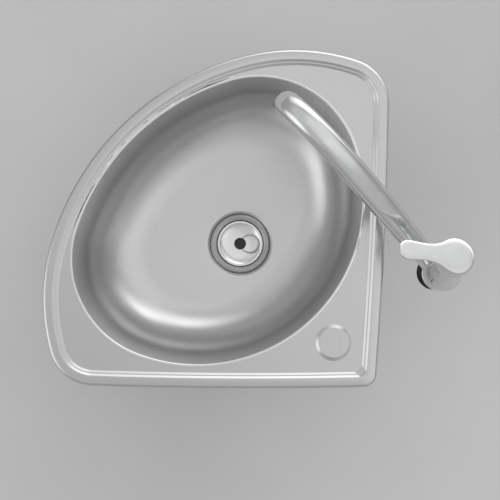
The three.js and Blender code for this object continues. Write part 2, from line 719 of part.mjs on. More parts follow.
function makeBasket() {
  const hole = KNOB_RADIUS + GAP;
  const rim = DISH_RADIUS - 0.5;
  const over = [0, 0.25, 0.5, 0.72, 0.88, 1].map((share) => {
    const radius = hole + (rim - hole) * share;
    return [radius, dishHeight(radius)];
  });
  const middle = (hole + rim) / 2;
  const under = [[BASKET_RADIUS - 1, dishHeight(BASKET_RADIUS) - 1.6],
    [middle, dishHeight(middle) - 1], [hole, dishHeight(KNOB_RADIUS) - 1]];
  const profile = [
    ...over,
    [DISH_RADIUS, dishTop - 0.1],
    [DISH_RADIUS - 0.2, dishTop - 1],
    [BASKET_RADIUS, dishHeight(BASKET_RADIUS) - 1.3],
    [BASKET_RADIUS, basketFloor + 2],
    [BASKET_RADIUS - 2, basketFloor],
    [KNOB_STEM_RADIUS + GAP, basketFloor],
    [KNOB_STEM_RADIUS + GAP, basketFloor + 1],
    [BASKET_RADIUS - 2.4, basketFloor + 1],
    [BASKET_RADIUS - 1, basketFloor + 2.4],
    ...under,
  ];
  const slotTop = dishHeight(BASKET_RADIUS) - 4;
  const slots = Array.from({ length: BASKET_SLOTS }, (unused, i) =>
    box(BASKET_RADIUS, 0, basketFloor + 4, 6, SLOT_WIDTH, slotTop - basketFloor - 4)
      .rotateZ((i * 360 * degrees) / BASKET_SLOTS),
  );
  addPiece("basket", cut(turned(profile, 24), ...slots), POLISHED_STEEL);
  const stopperLow = stopperTop - STOPPER_THICKNESS;
  const stopper = turned([
    [KNOB_STEM_RADIUS + GAP, stopperLow],
    [STOPPER_RADIUS - 1, stopperLow],
    [STOPPER_RADIUS, stopperLow + 0.8],
    [STOPPER_RADIUS, stopperTop],
    [KNOB_STEM_RADIUS + GAP, stopperTop],
  ]);
  addPiece("stopper_seal", stopper, RUBBER);
  makeKnob(stopperLow - GAP);
  makePullRing();
}

function makeKnob(foot) {
  const knobLow = dishHeight(KNOB_RADIUS) - 2.2;
  const knob = turned([
    [0, knobTop],
    [KNOB_RADIUS - 1.2, knobTop - 0.1],
    [KNOB_RADIUS, knobTop - 1],
    [KNOB_RADIUS, knobLow],
    [KNOB_STEM_RADIUS, knobLow - 1],
    [KNOB_STEM_RADIUS, foot],
    [KNOB_STEM_RADIUS + 2.5, foot],
    [KNOB_STEM_RADIUS + 2.5, foot - 2],
    [0, foot - 2],
  ], 20);
  const bore = new THREE.CylinderGeometry(RING_WIRE + GAP, RING_WIRE + GAP, 30, 12);
  addPiece("knob", cut(knob, bore.translate(RING_PIVOT, 0, ringPivotZ)), BLACK_PLASTIC);
}

// A D-shaped wire ring: a straight bar through the knob and an arc outside it.
function makePullRing() {
  const inKnob = Math.sqrt(KNOB_RADIUS ** 2 - RING_PIVOT ** 2);
  const route = [[0, 0], [0, inKnob * 0.6], [0, inKnob + 1], [1.3, inKnob + 2.7]];
  for (let turn = 120; turn > 0; turn -= 24) {
    const x = RING_CENTRE - RING_PIVOT + RING_RADIUS * Math.cos(turn * degrees);
    route.push([x, RING_RADIUS * Math.sin(turn * degrees)]);
  }
  const far = [RING_CENTRE - RING_PIVOT + RING_RADIUS, 0];
  const other = route.slice(1).reverse().map(([x, y]) => [x, -y]);
  const points = [...route, far, ...other].map(([x, y]) => new THREE.Vector3(x, y, 0));
  const path = new THREE.CatmullRomCurve3(points, true, "centripetal");
  const steps = 30;
  const sides = 6;
  const rings = Array.from({ length: steps }, (unused, i) => {
    const middle = path.getPointAt(i / steps);
    const along = path.getTangentAt(i / steps);
    const across = new THREE.Vector3(along.y, -along.x, 0).normalize();
    return Array.from({ length: sides }, (alsoUnused, k) => {
      const turn = (k * 360 * degrees) / sides;
      const spot = middle.clone().addScaledVector(across, RING_WIRE * Math.cos(turn));
      return spot.setZ(RING_WIRE * Math.sin(turn));
    });
  });
  const skin = new Skin();
  skin.strips([...rings, rings[0]]);
  const made = skin.geometry();
  const wire = solid(made).volume() < 0 ? turnedInsideOut(made) : made;
  const holder = new THREE.Group();
  holder.position.set(RING_PIVOT, 0, ringPivotZ);
  holder.rotation.y = -RING_REST_TILT * degrees;
  root.add(holder);
  addPiece("pull_ring", wire, POLISHED_STEEL, holder);
}

// ---- the mixer ----------------------------------------------------------------------------

const tap = new THREE.Group();
tap.position.set(TAP_X, TAP_Y, 0);
root.add(tap);

// The leaning head's own frame: its axis is local Z, and lengths along it start at the pivot.
const head = new THREE.Group();
head.position.set(0, 0, HEAD_PIVOT);
head.rotation.x = -HEAD_LEAN * degrees;
head.updateMatrix();
tap.add(head);

// A circle of points on an axis that leans towards +Y.
function leaningCircle(radius, y, z, lean, count = 24) {
  return Array.from({ length: count }, (unused, i) => {
    const turn = (i * 360 * degrees) / count;
    const [across, along] = [radius * Math.cos(turn), radius * Math.sin(turn)];
    return new THREE.Vector3(
      across, y + along * Math.cos(lean), z - along * Math.sin(lean));
  });
}

function makeTapBody() {
  const neckLow = collarTop + GAP;
  const neckTop = HEAD_PIVOT + HEAD_NECK * Math.cos(HEAD_LEAN * degrees);
  const steps = 4;
  const neck = Array.from({ length: steps + 1 }, (unused, i) => {
    const share = i / steps;
    const lean = HEAD_LEAN * degrees * share;
    const along = HEAD_NECK * share * share;
    const z = neckLow + (neckTop - neckLow) * share;
    const radius = COLLAR_RADIUS + (HEAD_RADIUS - COLLAR_RADIUS) * share;
    return leaningCircle(radius, along * Math.sin(HEAD_LEAN * degrees), z, lean);
  });
  const lean = HEAD_LEAN * degrees;
  neck.push(leaningCircle(
    HEAD_RADIUS, HEAD_TOP * Math.sin(lean), HEAD_PIVOT + HEAD_TOP * Math.cos(lean), lean));
  const column = turned([
    [0, baseUnder], [BASE_RADIUS - 0.5, baseUnder], [BASE_RADIUS, baseUnder + 0.8],
    [BASE_RADIUS, baseTop - 1.5], [BASE_RADIUS - 1.5, baseTop], [CORE_RADIUS, baseTop],
    [CORE_RADIUS, neckLow + 4], [0, neckLow + 4],
  ]);
  const cavity = rod(CARTRIDGE_RADIUS + GAP, CARTRIDGE_FLOOR, HEAD_TOP + 5, 24);
  const thread = rod(HEAD_RADIUS - HEAD_WALL, CARTRIDGE_SHOULDER, HEAD_TOP + 5, 24);
  const socket = rod(SPIGOT_RADIUS + GAP, baseUnder - 1, SPIGOT_HEIGHT + GAP);
  const body = cut(
    join(column, loft(neck)),
    cavity.applyMatrix4(head.matrix),
    thread.applyMatrix4(head.matrix),
    socket,
  );
  addPiece("tap_body", body, CHROME, tap);
}

function makeTapBase() {
  addPiece("base_seal", ring(SHANK_RADIUS + 0.5, BASE_RADIUS - 1, 0, BASE_SEAL), RUBBER, tap);
  const bushLow = baseTop + GAP;
  const bush = ring(CORE_RADIUS + GAP, COLLAR_RADIUS - 0.5, bushLow, bushLow + BUSH_HEIGHT);
  addPiece("swivel_bush", bush, WHITE_PLASTIC, tap);
  const seal = (low) =>
    ring(CORE_RADIUS + GAP, COLLAR_BORE - GAP, low, low + SPOUT_SEAL_HEIGHT);
  addPiece("spout_seal_lower", seal(collarUnder + 2), RUBBER, tap);
  addPiece("spout_seal_upper", seal(collarTop - 2 - SPOUT_SEAL_HEIGHT), RUBBER, tap);
}

// The spout's line in its own upright plane: [distance from the tap's axis, height].
const SPOUT_LINE = [
  [12, 20], [24, 24.5], [40, 34], [90, 68], [150, 107], [210, 140],
  [262, 157], [298, 154], [317, 141], [322, 124],
];
const spoutLine = new THREE.CatmullRomCurve3(
  SPOUT_LINE.map(([s, z]) => new THREE.Vector3(s, 0, z)), false, "centripetal");

// Half width and half height of the spout along its length.
function spoutSize(share) {
  const root = [15.5, 11.5];
  const middle = [17.5, 12];
  const tip = [14, 14];
  const [from, to, part] = share < 0.4
    ? [root, middle, share / 0.4]
    : [middle, tip, (share - 0.4) / 0.6];
  const smooth = part * part * (3 - 2 * part);
  return from.map((size, i) => size + (to[i] - size) * smooth);
}

function spoutRings(inset, count, sides, beyond) {
  return Array.from({ length: count + 1 }, (unused, i) => {
    const share = i / count;
    const middle = spoutLine.getPointAt(share);
    const along = spoutLine.getTangentAt(share);
    if (i === count) middle.addScaledVector(along, beyond);
    const up = new THREE.Vector3(-along.z, 0, along.x);
    const [width, height] = spoutSize(share).map((size) => size - inset);
    return Array.from({ length: sides }, (alsoUnused, k) => {
      const turn = (k * 360 * degrees) / sides;
      const spot = middle.clone().addScaledVector(up, height * Math.sin(turn));
      return spot.setY(width * Math.cos(turn));
    });
  });
}

function makeSpout() {
  const holder = new THREE.Group();
  holder.rotation.z = SPOUT_AZIMUTH * degrees;
  tap.add(holder);
  const collar = turned([
    [CORE_RADIUS - 4, collarUnder],
    [COLLAR_RADIUS - 0.8, collarUnder],
    [COLLAR_RADIUS, collarUnder + 0.8],
    [COLLAR_RADIUS, collarTop - 0.8],
    [COLLAR_RADIUS - 0.8, collarTop],
    [CORE_RADIUS - 4, collarTop],
  ]);
  const outlet = new THREE.Group();
  outlet.position.copy(spoutLine.getPointAt(1));
  outlet.quaternion.setFromUnitVectors(new THREE.Vector3(0, 0, -1), spoutLine.getTangentAt(1));
  outlet.updateMatrix();
  holder.add(outlet);
  const [, tipSize] = spoutSize(1);
  const seat = tipSize - SPOUT_WALL;
  const spout = cut(
    join(collar, loft(spoutRings(0, 15, 16, 0))),
    rod(COLLAR_BORE, collarUnder - 1, collarTop + 1, 24),
    rod(COLLAR_RADIUS + GAP, collarTop, collarTop + 12, 24),
    loft(spoutRings(SPOUT_WALL, 13, 10, 1)),
    rod(seat, -2, 7, 24).applyMatrix4(outlet.matrix),
  );
  addPiece("spout", spout, CHROME, holder);
  makeAerator(outlet, seat - GAP);
}

function makeAerator(outlet, spigot) {
  const bore = spigot - AERATOR_WALL;
  const housing = turned([
    [bore, 6],
    [spigot, 6],
    [spigot, -GAP],
    [AERATOR_RADIUS, -GAP],
    [AERATOR_RADIUS, -AERATOR_LENGTH + 1],
    [AERATOR_RADIUS - 1, -AERATOR_LENGTH],
    [bore, -AERATOR_LENGTH],
  ]);
  addPiece("aerator_housing", housing, CHROME, outlet);
  const disc = rod(bore - GAP, -AERATOR_LENGTH + 1, -AERATOR_LENGTH + 7, 16);
  const holes = [];
  for (let i = 0; i < 6; i += 1) {
    const turn = i * 60 * degrees;
    holes.push(rod(1.2, -20, 10, 6).translate(5.2 * Math.cos(turn), 5.2 * Math.sin(turn), 0));
  }
  holes.push(rod(1.2, -20, 10, 6));
  addPiece("aerator_insert", cut(disc, ...holes), BLACK_PLASTIC, outlet);
}

function makeCartridge() {
  const neckTop = HEAD_TOP - 0.5;
  const cartridge = turned([
    [0, CARTRIDGE_FLOOR + GAP],
    [CARTRIDGE_RADIUS, CARTRIDGE_FLOOR + GAP],
    [CARTRIDGE_RADIUS, CARTRIDGE_SHOULDER],
    [CARTRIDGE_NECK, CARTRIDGE_SHOULDER],
    [CARTRIDGE_NECK, neckTop],
    [0, neckTop],
  ], 24);
  addPiece("cartridge", cartridge, WHITE_PLASTIC, head);
  const threadRadius = HEAD_RADIUS - HEAD_WALL - GAP;
  const nut = ring(CARTRIDGE_NECK + GAP, threadRadius, CARTRIDGE_SHOULDER + GAP, HEAD_TOP - 2);
  addPiece("cartridge_nut", nut, BRASS, head);
  makeShroud();
}

// Points on a sphere about the lift axis, as [radius, height] pairs from one angle to another.
function sphereArc(radius, from, to, steps) {
  return Array.from({ length: steps + 1 }, (unused, i) => {
    const turn = (from + ((to - from) * i) / steps) * degrees;
    return [radius * Math.sin(turn), liftAxis + radius * Math.cos(turn)];
  });
}

function makeShroud() {
  const foot = HEAD_TOP + GAP;
  const edge = Math.acos((foot - liftAxis) / SHROUD_RADIUS) / degrees;
  const inner = SHROUD_RADIUS - SHROUD_WALL;
  const innerEdge = Math.acos((foot - liftAxis) / inner) / degrees;
  const profile = [
    ...sphereArc(SHROUD_RADIUS, SHROUD_MOUTH, edge, 4),
    ...sphereArc(inner, innerEdge, SHROUD_MOUTH, 4),
  ];
  addPiece("head_shroud", turned(profile), CHROME, head);
}

// The rotor turns with the lever; the stem and the lever also tilt about its pin.
function makeLever() {
  const lever = new THREE.Group();
  lever.rotation.z = LEVER_AZIMUTH * degrees;
  head.add(lever);
  const disc = rod(ROTOR_RADIUS, rotorLow, rotorTop, 24);
  const ear = (side) => box(0, side * (STEM_WIDTH / 2 + GAP + 1.5), rotorTop - 1, 7, 3, 8.2);
  const pinLine = (radius, length) =>
    new THREE.CylinderGeometry(radius, radius, length, 16).translate(0, 0, liftAxis);
  const pinHole = () => pinLine(PIN_RADIUS + GAP, 30);
  const rotor = cut(join(disc, ear(1), ear(-1)), pinHole());
  addPiece("cartridge_rotor", rotor, WHITE_PLASTIC, lever);
  addPiece("lift_pin", pinLine(PIN_RADIUS, STEM_WIDTH + 6.2), ZINC, lever);
  const stemTop = capTop - CAP_CEILING - 2.7;
  const knuckle = new THREE.CylinderGeometry(KNUCKLE_RADIUS, KNUCKLE_RADIUS, STEM_WIDTH, 20);
  knuckle.translate(0, 0, liftAxis);
  const bar = box(0, 0, liftAxis, STEM_DEPTH, STEM_WIDTH, stemTop - liftAxis);
  addPiece("lever_stem", cut(join(knuckle, bar), pinHole()), BRASS, lever);
  makeLeverCasting(lever, stemTop);
}

// The lever's outline seen from above: a round cap and a handle that widens to a round end.
function leverShape() {
  const shape = new THREE.Shape();
  const neckHalf = LEVER_NECK_WIDTH / 2;
  const endHalf = LEVER_END_WIDTH / 2;
  const capHalf = CAP_RADIUS - 3;
  const leave = 52 * degrees;
  shape.absarc(0, 0, capHalf, leave, 2 * Math.PI - leave, false);
  shape.quadraticCurveTo(capHalf + 2, -neckHalf - 0.5, capHalf + 12, -neckHalf);
  shape.lineTo(LEVER_REACH - endHalf, -endHalf);
  shape.absarc(LEVER_REACH - endHalf, 0, endHalf, -Math.PI / 2, Math.PI / 2, false);
  shape.lineTo(capHalf + 12, neckHalf);
  shape.quadraticCurveTo(
    capHalf + 2, neckHalf + 0.5, capHalf * Math.cos(leave), capHalf * Math.sin(leave));
  return shape;
}

function makeLeverCasting(lever, stemTop) {
  const topAngle = Math.acos(CAP_RISE / CAP_RADIUS) / degrees;
  const innerRadius = CAP_RADIUS - CAP_WALL;
  const ceiling = capTop - CAP_CEILING;
  const innerAngle = Math.acos((ceiling - liftAxis) / innerRadius) / degrees;
  const cap = turned([
    [0, capTop],
    ...sphereArc(CAP_RADIUS, topAngle, CAP_SKIRT, 3),
    ...sphereArc(innerRadius, CAP_SKIRT, innerAngle, 3),
    [0, ceiling],
  ]);
  const plate = new THREE.ExtrudeGeometry(leverShape(), {
    depth: LEVER_THICKNESS, bevelEnabled: false, curveSegments: 6,
  });
  plate.translate(0, 0, -LEVER_THICKNESS).rotateY(-LEVER_RISE * degrees).translate(0, 0, capTop);
  const hollow = loft(sphereRings(innerRadius, innerAngle));
  const handle = cut(plate, hollow);
  const boss = cut(
    box(0, 0, stemTop - 5, 13, 13, ceiling + 0.5 - (stemTop - 5)),
    box(0, 0, stemTop - 6, STEM_DEPTH + 2 * GAP, STEM_WIDTH + 2 * GAP, 6 + GAP),
  );
  const screwLine = stemTop - 2.4;
  const rodAlongX = (radius, from, to) =>
    new THREE.CylinderGeometry(radius, radius, to - from, 12)
      .rotateZ(Math.PI / 2)
      .translate((from + to) / 2, 0, screwLine);
  const tunnel = rodAlongX(GRUB_RADIUS + GAP, -CAP_RADIUS - 8, -STEM_DEPTH / 2);
  addPiece("lever", cut(join(cap, handle, boss), tunnel), CHROME, lever);
  const grubTip = -STEM_DEPTH / 2 - GAP;
  addPiece("grub_screw", rodAlongX(GRUB_RADIUS, grubTip - GRUB_LENGTH, grubTip), ZINC, lever);
  const plugEnd = 3.1 - CAP_RADIUS;
  const plug = rodAlongX(GRUB_RADIUS, plugEnd, plugEnd + PLUG_LENGTH);
  addPiece("lever_plug", plug, BLACK_PLASTIC, lever);
}

// Rings of a ball about the lift axis that is cut flat near its top.
function sphereRings(radius, topAngle) {
  return sphereArc(radius, 150, topAngle, 6).map(([r, z]) => leaningCircle(r, 0, z, 0));
}

function makeTapFixings() {
  const shank = turned([
    [SHANK_BORE, SPIGOT_HEIGHT], [SPIGOT_RADIUS, SPIGOT_HEIGHT],
    [SPIGOT_RADIUS, baseUnder - GAP], [SHANK_RADIUS, baseUnder - GAP],
    [SHANK_RADIUS, -SHANK_LENGTH], [SHANK_BORE, -SHANK_LENGTH],
  ]);
  addPiece("shank", shank, BRASS, tap);
  const bore = SHANK_RADIUS + GAP;
  const washerLow = -WORKTOP - SHANK_WASHER;
  addPiece("worktop_washer", ring(bore, BASE_RADIUS, washerLow, -WORKTOP), RUBBER, tap);
  const plateLow = washerLow - GAP - BACKING_PLATE;
  addPiece("backing_plate", ring(bore, BASE_RADIUS, plateLow, washerLow - GAP), ZINC, tap);
  const nutTop = plateLow - GAP;
  const nut = hexNut(FIXING_NUT_FLATS, bore, nutTop - FIXING_NUT_HEIGHT, nutTop);
  addPiece("fixing_nut", nut, BRASS, tap);
  const inletLow = SPIGOT_HEIGHT - INLET_DROP;
  for (const [name, side] of [["inlet_hot", 1], ["inlet_cold", -1]]) {
    const inlet = cut(
      rod(INLET_RADIUS, inletLow, SPIGOT_HEIGHT, 16),
      rod(INLET_BORE, inletLow - 1, SPIGOT_HEIGHT - 8, 10),
    );
    addPiece(name, inlet.translate(0, (side * INLET_SPACING) / 2, 0), BRASS, tap);
  }
}

makeDeck();
makeBowl();
makeSoundPad();
makeRimSeal();
clampPlaces().forEach((spot, i) => makeClamp(`clamp${i + 1}`, spot));
makeWaste();
makeBasket();
makeTapBody();
makeTapBase();
makeSpout();
makeCartridge();
makeLever();
makeTapFixings();

export default root;
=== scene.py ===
import math

import bmesh
import bpy
from mathutils import Matrix, Vector
from mathutils.kdtree import KDTree


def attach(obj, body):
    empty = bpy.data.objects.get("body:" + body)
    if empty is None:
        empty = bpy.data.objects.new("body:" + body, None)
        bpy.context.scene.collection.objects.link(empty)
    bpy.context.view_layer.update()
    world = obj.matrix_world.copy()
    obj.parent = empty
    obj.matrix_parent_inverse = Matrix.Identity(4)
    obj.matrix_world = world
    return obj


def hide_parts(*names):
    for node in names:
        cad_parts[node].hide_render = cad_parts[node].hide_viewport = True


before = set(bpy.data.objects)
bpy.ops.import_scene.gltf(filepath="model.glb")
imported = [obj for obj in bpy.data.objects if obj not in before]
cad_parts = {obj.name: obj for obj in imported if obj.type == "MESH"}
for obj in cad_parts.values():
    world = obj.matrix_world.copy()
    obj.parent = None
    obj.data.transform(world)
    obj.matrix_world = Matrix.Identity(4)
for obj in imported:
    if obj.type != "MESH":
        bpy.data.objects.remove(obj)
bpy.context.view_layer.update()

ROUND = 96  # steps of a turned piece
UP = Vector((0, 0, 1))


def mm(*sizes):
    return Vector([size * 0.001 for size in sizes])


# ---- sizes that several pieces share ----

STEEL = 0.8
DECK_TOP = 1.5
LIP_BOTTOM = 0.5
WORKTOP = 38
WASTE_FROM_CORNER = 285
BOWL_DEPTH = 160
FLOOR_TOP = DECK_TOP - BOWL_DEPTH
SEAT_TOP = FLOOR_TOP - 4.5
SEAM = -7  # where the deck's collar ends and the bowl starts
WALL_DRAFT = math.radians(6)
BOTTOM_SLOPE = math.radians(2.2)
FOOT_RADIUS = 88
RECESS_RADIUS = 51.5
ROLL = 1.9  # bend of the deck's edge round the bowl
LANDING_HEIGHT = 2.6
SIDE_LENGTH = 395
SIDE_BOW = 6560  # radius of the nearly straight side
FLANGE_TOP = SEAT_TOP + 3.4
DISH_TOP = FLANGE_TOP - 1.7
KNOB_TOP = DISH_TOP + 0.1
TAP_SPOT = (292.6, -36.3)
HEAD_FOOT = 38  # where the leaning head's own axis starts
LEAN = 18  # degrees
LIFT_AXIS = 63.7  # along the leaning head's own axis
CAP_TOP = 86
COLLAR_RADIUS = 25.5
CORE_RADIUS = 19.0


# ---- tools ----


def even_turns(count):
    return [2 * math.pi * i / count for i in range(count)]


def blend(share):
    """Runs smoothly from 0 to 1."""
    share = max(0.0, min(1.0, share))
    return share * share * (3 - 2 * share)


def put_down():
    """Leaves edit mode with nothing selected."""
    if bpy.context.mode != "OBJECT":
        bpy.ops.object.mode_set(mode="OBJECT")
    bpy.ops.object.select_all(action="DESELECT")


def pick(piece):
    put_down()
    piece.select_set(True)
    bpy.context.view_layer.objects.active = piece


def taken(name):
    """The primitive that was just added, under its own name."""
    piece = bpy.context.object
    piece.name = name
    piece.data.name = name
    return piece


def edit_all(piece):
    pick(piece)
    bpy.ops.object.mode_set(mode="EDIT")
    bpy.ops.mesh.select_mode(type="VERT")
    bpy.ops.mesh.select_all(action="SELECT")


def sew(piece, loose=1e-6):
    """Merges what meets, drops leftover wires and turns the faces outwards."""
    edit_all(piece)
    bpy.ops.mesh.remove_doubles(threshold=loose)
    bpy.ops.mesh.delete_loose()
    bpy.ops.mesh.select_all(action="SELECT")
    bpy.ops.mesh.normals_make_consistent(inside=False)
    bpy.ops.object.mode_set(mode="OBJECT")
    return piece


def capped(piece):
    """Closes a piece's open ends."""
    edit_all(piece)
    bpy.ops.mesh.fill_holes(sides=0)
    bpy.ops.object.mode_set(mode="OBJECT")
    return sew(piece)


def pick_open_edges(piece, height):
    """Leaves edit mode on, with the open edges at a height selected."""
    edit_all(piece)
    bpy.ops.mesh.select_all(action="DESELECT")
    bpy.ops.mesh.select_mode(type="EDGE")
    shape = bmesh.from_edit_mesh(piece.data)
    for edge in shape.edges:
        if edge.is_boundary and all(abs(v.co.z - height * 0.001) < 1e-6 for v in edge.verts):
            edge.select_set(True)
    bmesh.update_edit_mesh(piece.data)


def eased(corners, steps=5):
    """A line through (radius, height) corners; a third number rounds that corner."""
    line = []
    for i, corner in enumerate(corners):
        spot = Vector(corner[:2])
        bend = corner[2] if len(corner) > 2 else 0
        if not bend:
            line.append(tuple(spot))
            continue
        back = (Vector(corners[i - 1][:2]) - spot).normalized()
        ahead = (Vector(corners[(i + 1) % len(corners)][:2]) - spot).normalized()
        half = math.acos(max(-1, min(1, back.dot(ahead)))) / 2
        reach = bend / math.tan(half)
        centre = spot + (back + ahead).normalized() * (bend / math.sin(half))
        start = spot + back * reach - centre
        swing = start.angle_signed(spot + ahead * reach - centre)
        for k in range(steps + 1):
            line.append(tuple(centre + Matrix.Rotation(-swing * k / steps, 2) @ start))
    return line


def turned(name, outline, steps=ROUND):
    """Spins a closed outline of (radius, height) points about Z."""
    put_down()
    bpy.ops.mesh.primitive_circle_add(vertices=len(outline), radius=0.01)
    piece = taken(name)
    for corner, (radius, height) in zip(piece.data.vertices, outline):
        corner.co = mm(radius, 0, height)
    edit_all(piece)
    bpy.ops.mesh.spin(steps=steps, angle=2 * math.pi, center=(0, 0, 0), axis=UP)
    return sew(piece)


def rod(name, radius, low, high, steps=ROUND):
    return turned(name, [(0, low), (radius, low), (radius, high), (0, high)], steps)


def washer(name, inner, outer, low, high, bend, steps=3):
    """A flat ring whose outer edges are rounded."""
    return turned(name, eased([(inner, low), (outer, low, bend), (outer, high, bend),
                               (inner, high)], steps))


def thread_line(start, end, pitch, tooth):
    """A thread's outline: the tooth's (radius, height) points once for each pitch."""
    line, z = [], start
    while (end - z) * pitch > 0:
        line += [(radius, z + height) for radius, height in tooth]
        z += pitch
    return line


def pulled(name, rings):
    """Adds a circle, shapes it as the first ring and extrudes it through the others."""
    put_down()
    bpy.ops.mesh.primitive_circle_add(vertices=len(rings[0]), radius=0.01)
    piece = taken(name)
    for corner, spot in zip(piece.data.vertices, rings[0]):
        corner.co = spot
    edit_all(piece)
    shape = bmesh.from_edit_mesh(piece.data)
    count = shape.verts.layers.int.new("count")
    for i, corner in enumerate(shape.verts):
        corner[count] = i
    bmesh.update_edit_mesh(piece.data)
    for ring in rings[1:]:
        bpy.ops.mesh.extrude_edges_move()
        shape = bmesh.from_edit_mesh(piece.data)
        count = shape.verts.layers.int["count"]
        for corner in shape.verts:
            if corner.select:
                corner.co = ring[corner[count]]
        bmesh.update_edit_mesh(piece.data)
    sew(piece)
    piece.data.attributes.remove(piece.data.attributes["count"])
    return piece


def block(name, middle, size):
    """A box, placed by its middle."""
    put_down()
    bpy.ops.mesh.primitive_cube_add(size=1, location=mm(*middle), scale=mm(*size))
    piece = taken(name)
    bpy.ops.object.transform_apply(location=True, rotation=True, scale=True)
    return piece


def modified(piece, kind, **settings):
    pick(piece)
    bpy.ops.object.modifier_add(type=kind)
    modifier = piece.modifiers[-1]
    for setting, value in settings.items():
        setattr(modifier, setting, value)
    bpy.ops.object.modifier_apply(modifier=modifier.name)
    return piece


def softened(piece, width, segments=3, angle=35):
    """Rounds the sharp edges."""
    return modified(
        piece, "BEVEL", width=width * 0.001, segments=segments,
        limit_method="ANGLE", angle_limit=math.radians(angle),
        use_clamp_overlap=True, harden_normals=False)


def sheet_of(piece, thickness):
    """Gives a surface its wall, on the side away from its faces."""
    return modified(piece, "SOLIDIFY", thickness=thickness * 0.001, offset=-1,
                    use_even_offset=False, use_quality_normals=True)


def combined(piece, tool, way):
    modified(piece, "BOOLEAN", object=tool, operation=way, solver="EXACT")
    bpy.data.objects.remove(tool)
    return piece


def cut(piece, *tools):
    for tool in tools:
        combined(piece, tool, "DIFFERENCE")
    return piece


def fused(piece, *others):
    for other in others:
        combined(piece, other, "UNION")
    return piece


def placed(piece, *moves):
    """Moves a piece and leaves its object at the origin, unturned."""
    pick(piece)
    whole = Matrix.Identity(4)
    for move in moves:
        whole = whole @ move
    piece.matrix_world = whole
    bpy.ops.object.transform_apply(location=True, rotation=True, scale=True)
    return piece


def facing(piece, centre_face, way):
    """Turns an open surface over where its face nearest a point looks away from a direction."""
    spot = Vector(centre_face)
    nearest = min(piece.data.polygons, key=lambda face: (face.center - spot).length)
    if nearest.normal.dot(Vector(way)) < 0:
        edit_all(piece)
        bpy.ops.mesh.flip_normals()
        bpy.ops.object.mode_set(mode="OBJECT")
    return piece


def joined(name, *pieces):
    pick(pieces[0])
    for piece in pieces[1:]:
        piece.select_set(True)
    bpy.ops.object.join()
    return taken(name)


def copied(piece, name):
    """A copy with its own mesh."""
    pick(piece)
    bpy.ops.object.duplicate(linked=False)
    return taken(name)


def shift(x, y, z):
    return Matrix.Translation(mm(x, y, z))


def turn(degrees, axis):
    return Matrix.Rotation(math.radians(degrees), 4, axis)


def fanned(count, make):
    """Copies of what make() gives, evenly round Z."""
    return [placed(make(), turn(360 / count * i, "Z")) for i in range(count)]


def ready(piece, body, nodes, material, smooth=35):
    """The last step for every piece: its finish, what it rides on and what it stands for."""
    pick(piece)
    bpy.ops.object.shade_smooth_by_angle(angle=math.radians(smooth))
    piece.data.materials.clear()
    piece.data.materials.append(material)
    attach(piece, body)
    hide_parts(*([nodes] if isinstance(nodes, str) else nodes))
    return piece


# ---- finishes ----


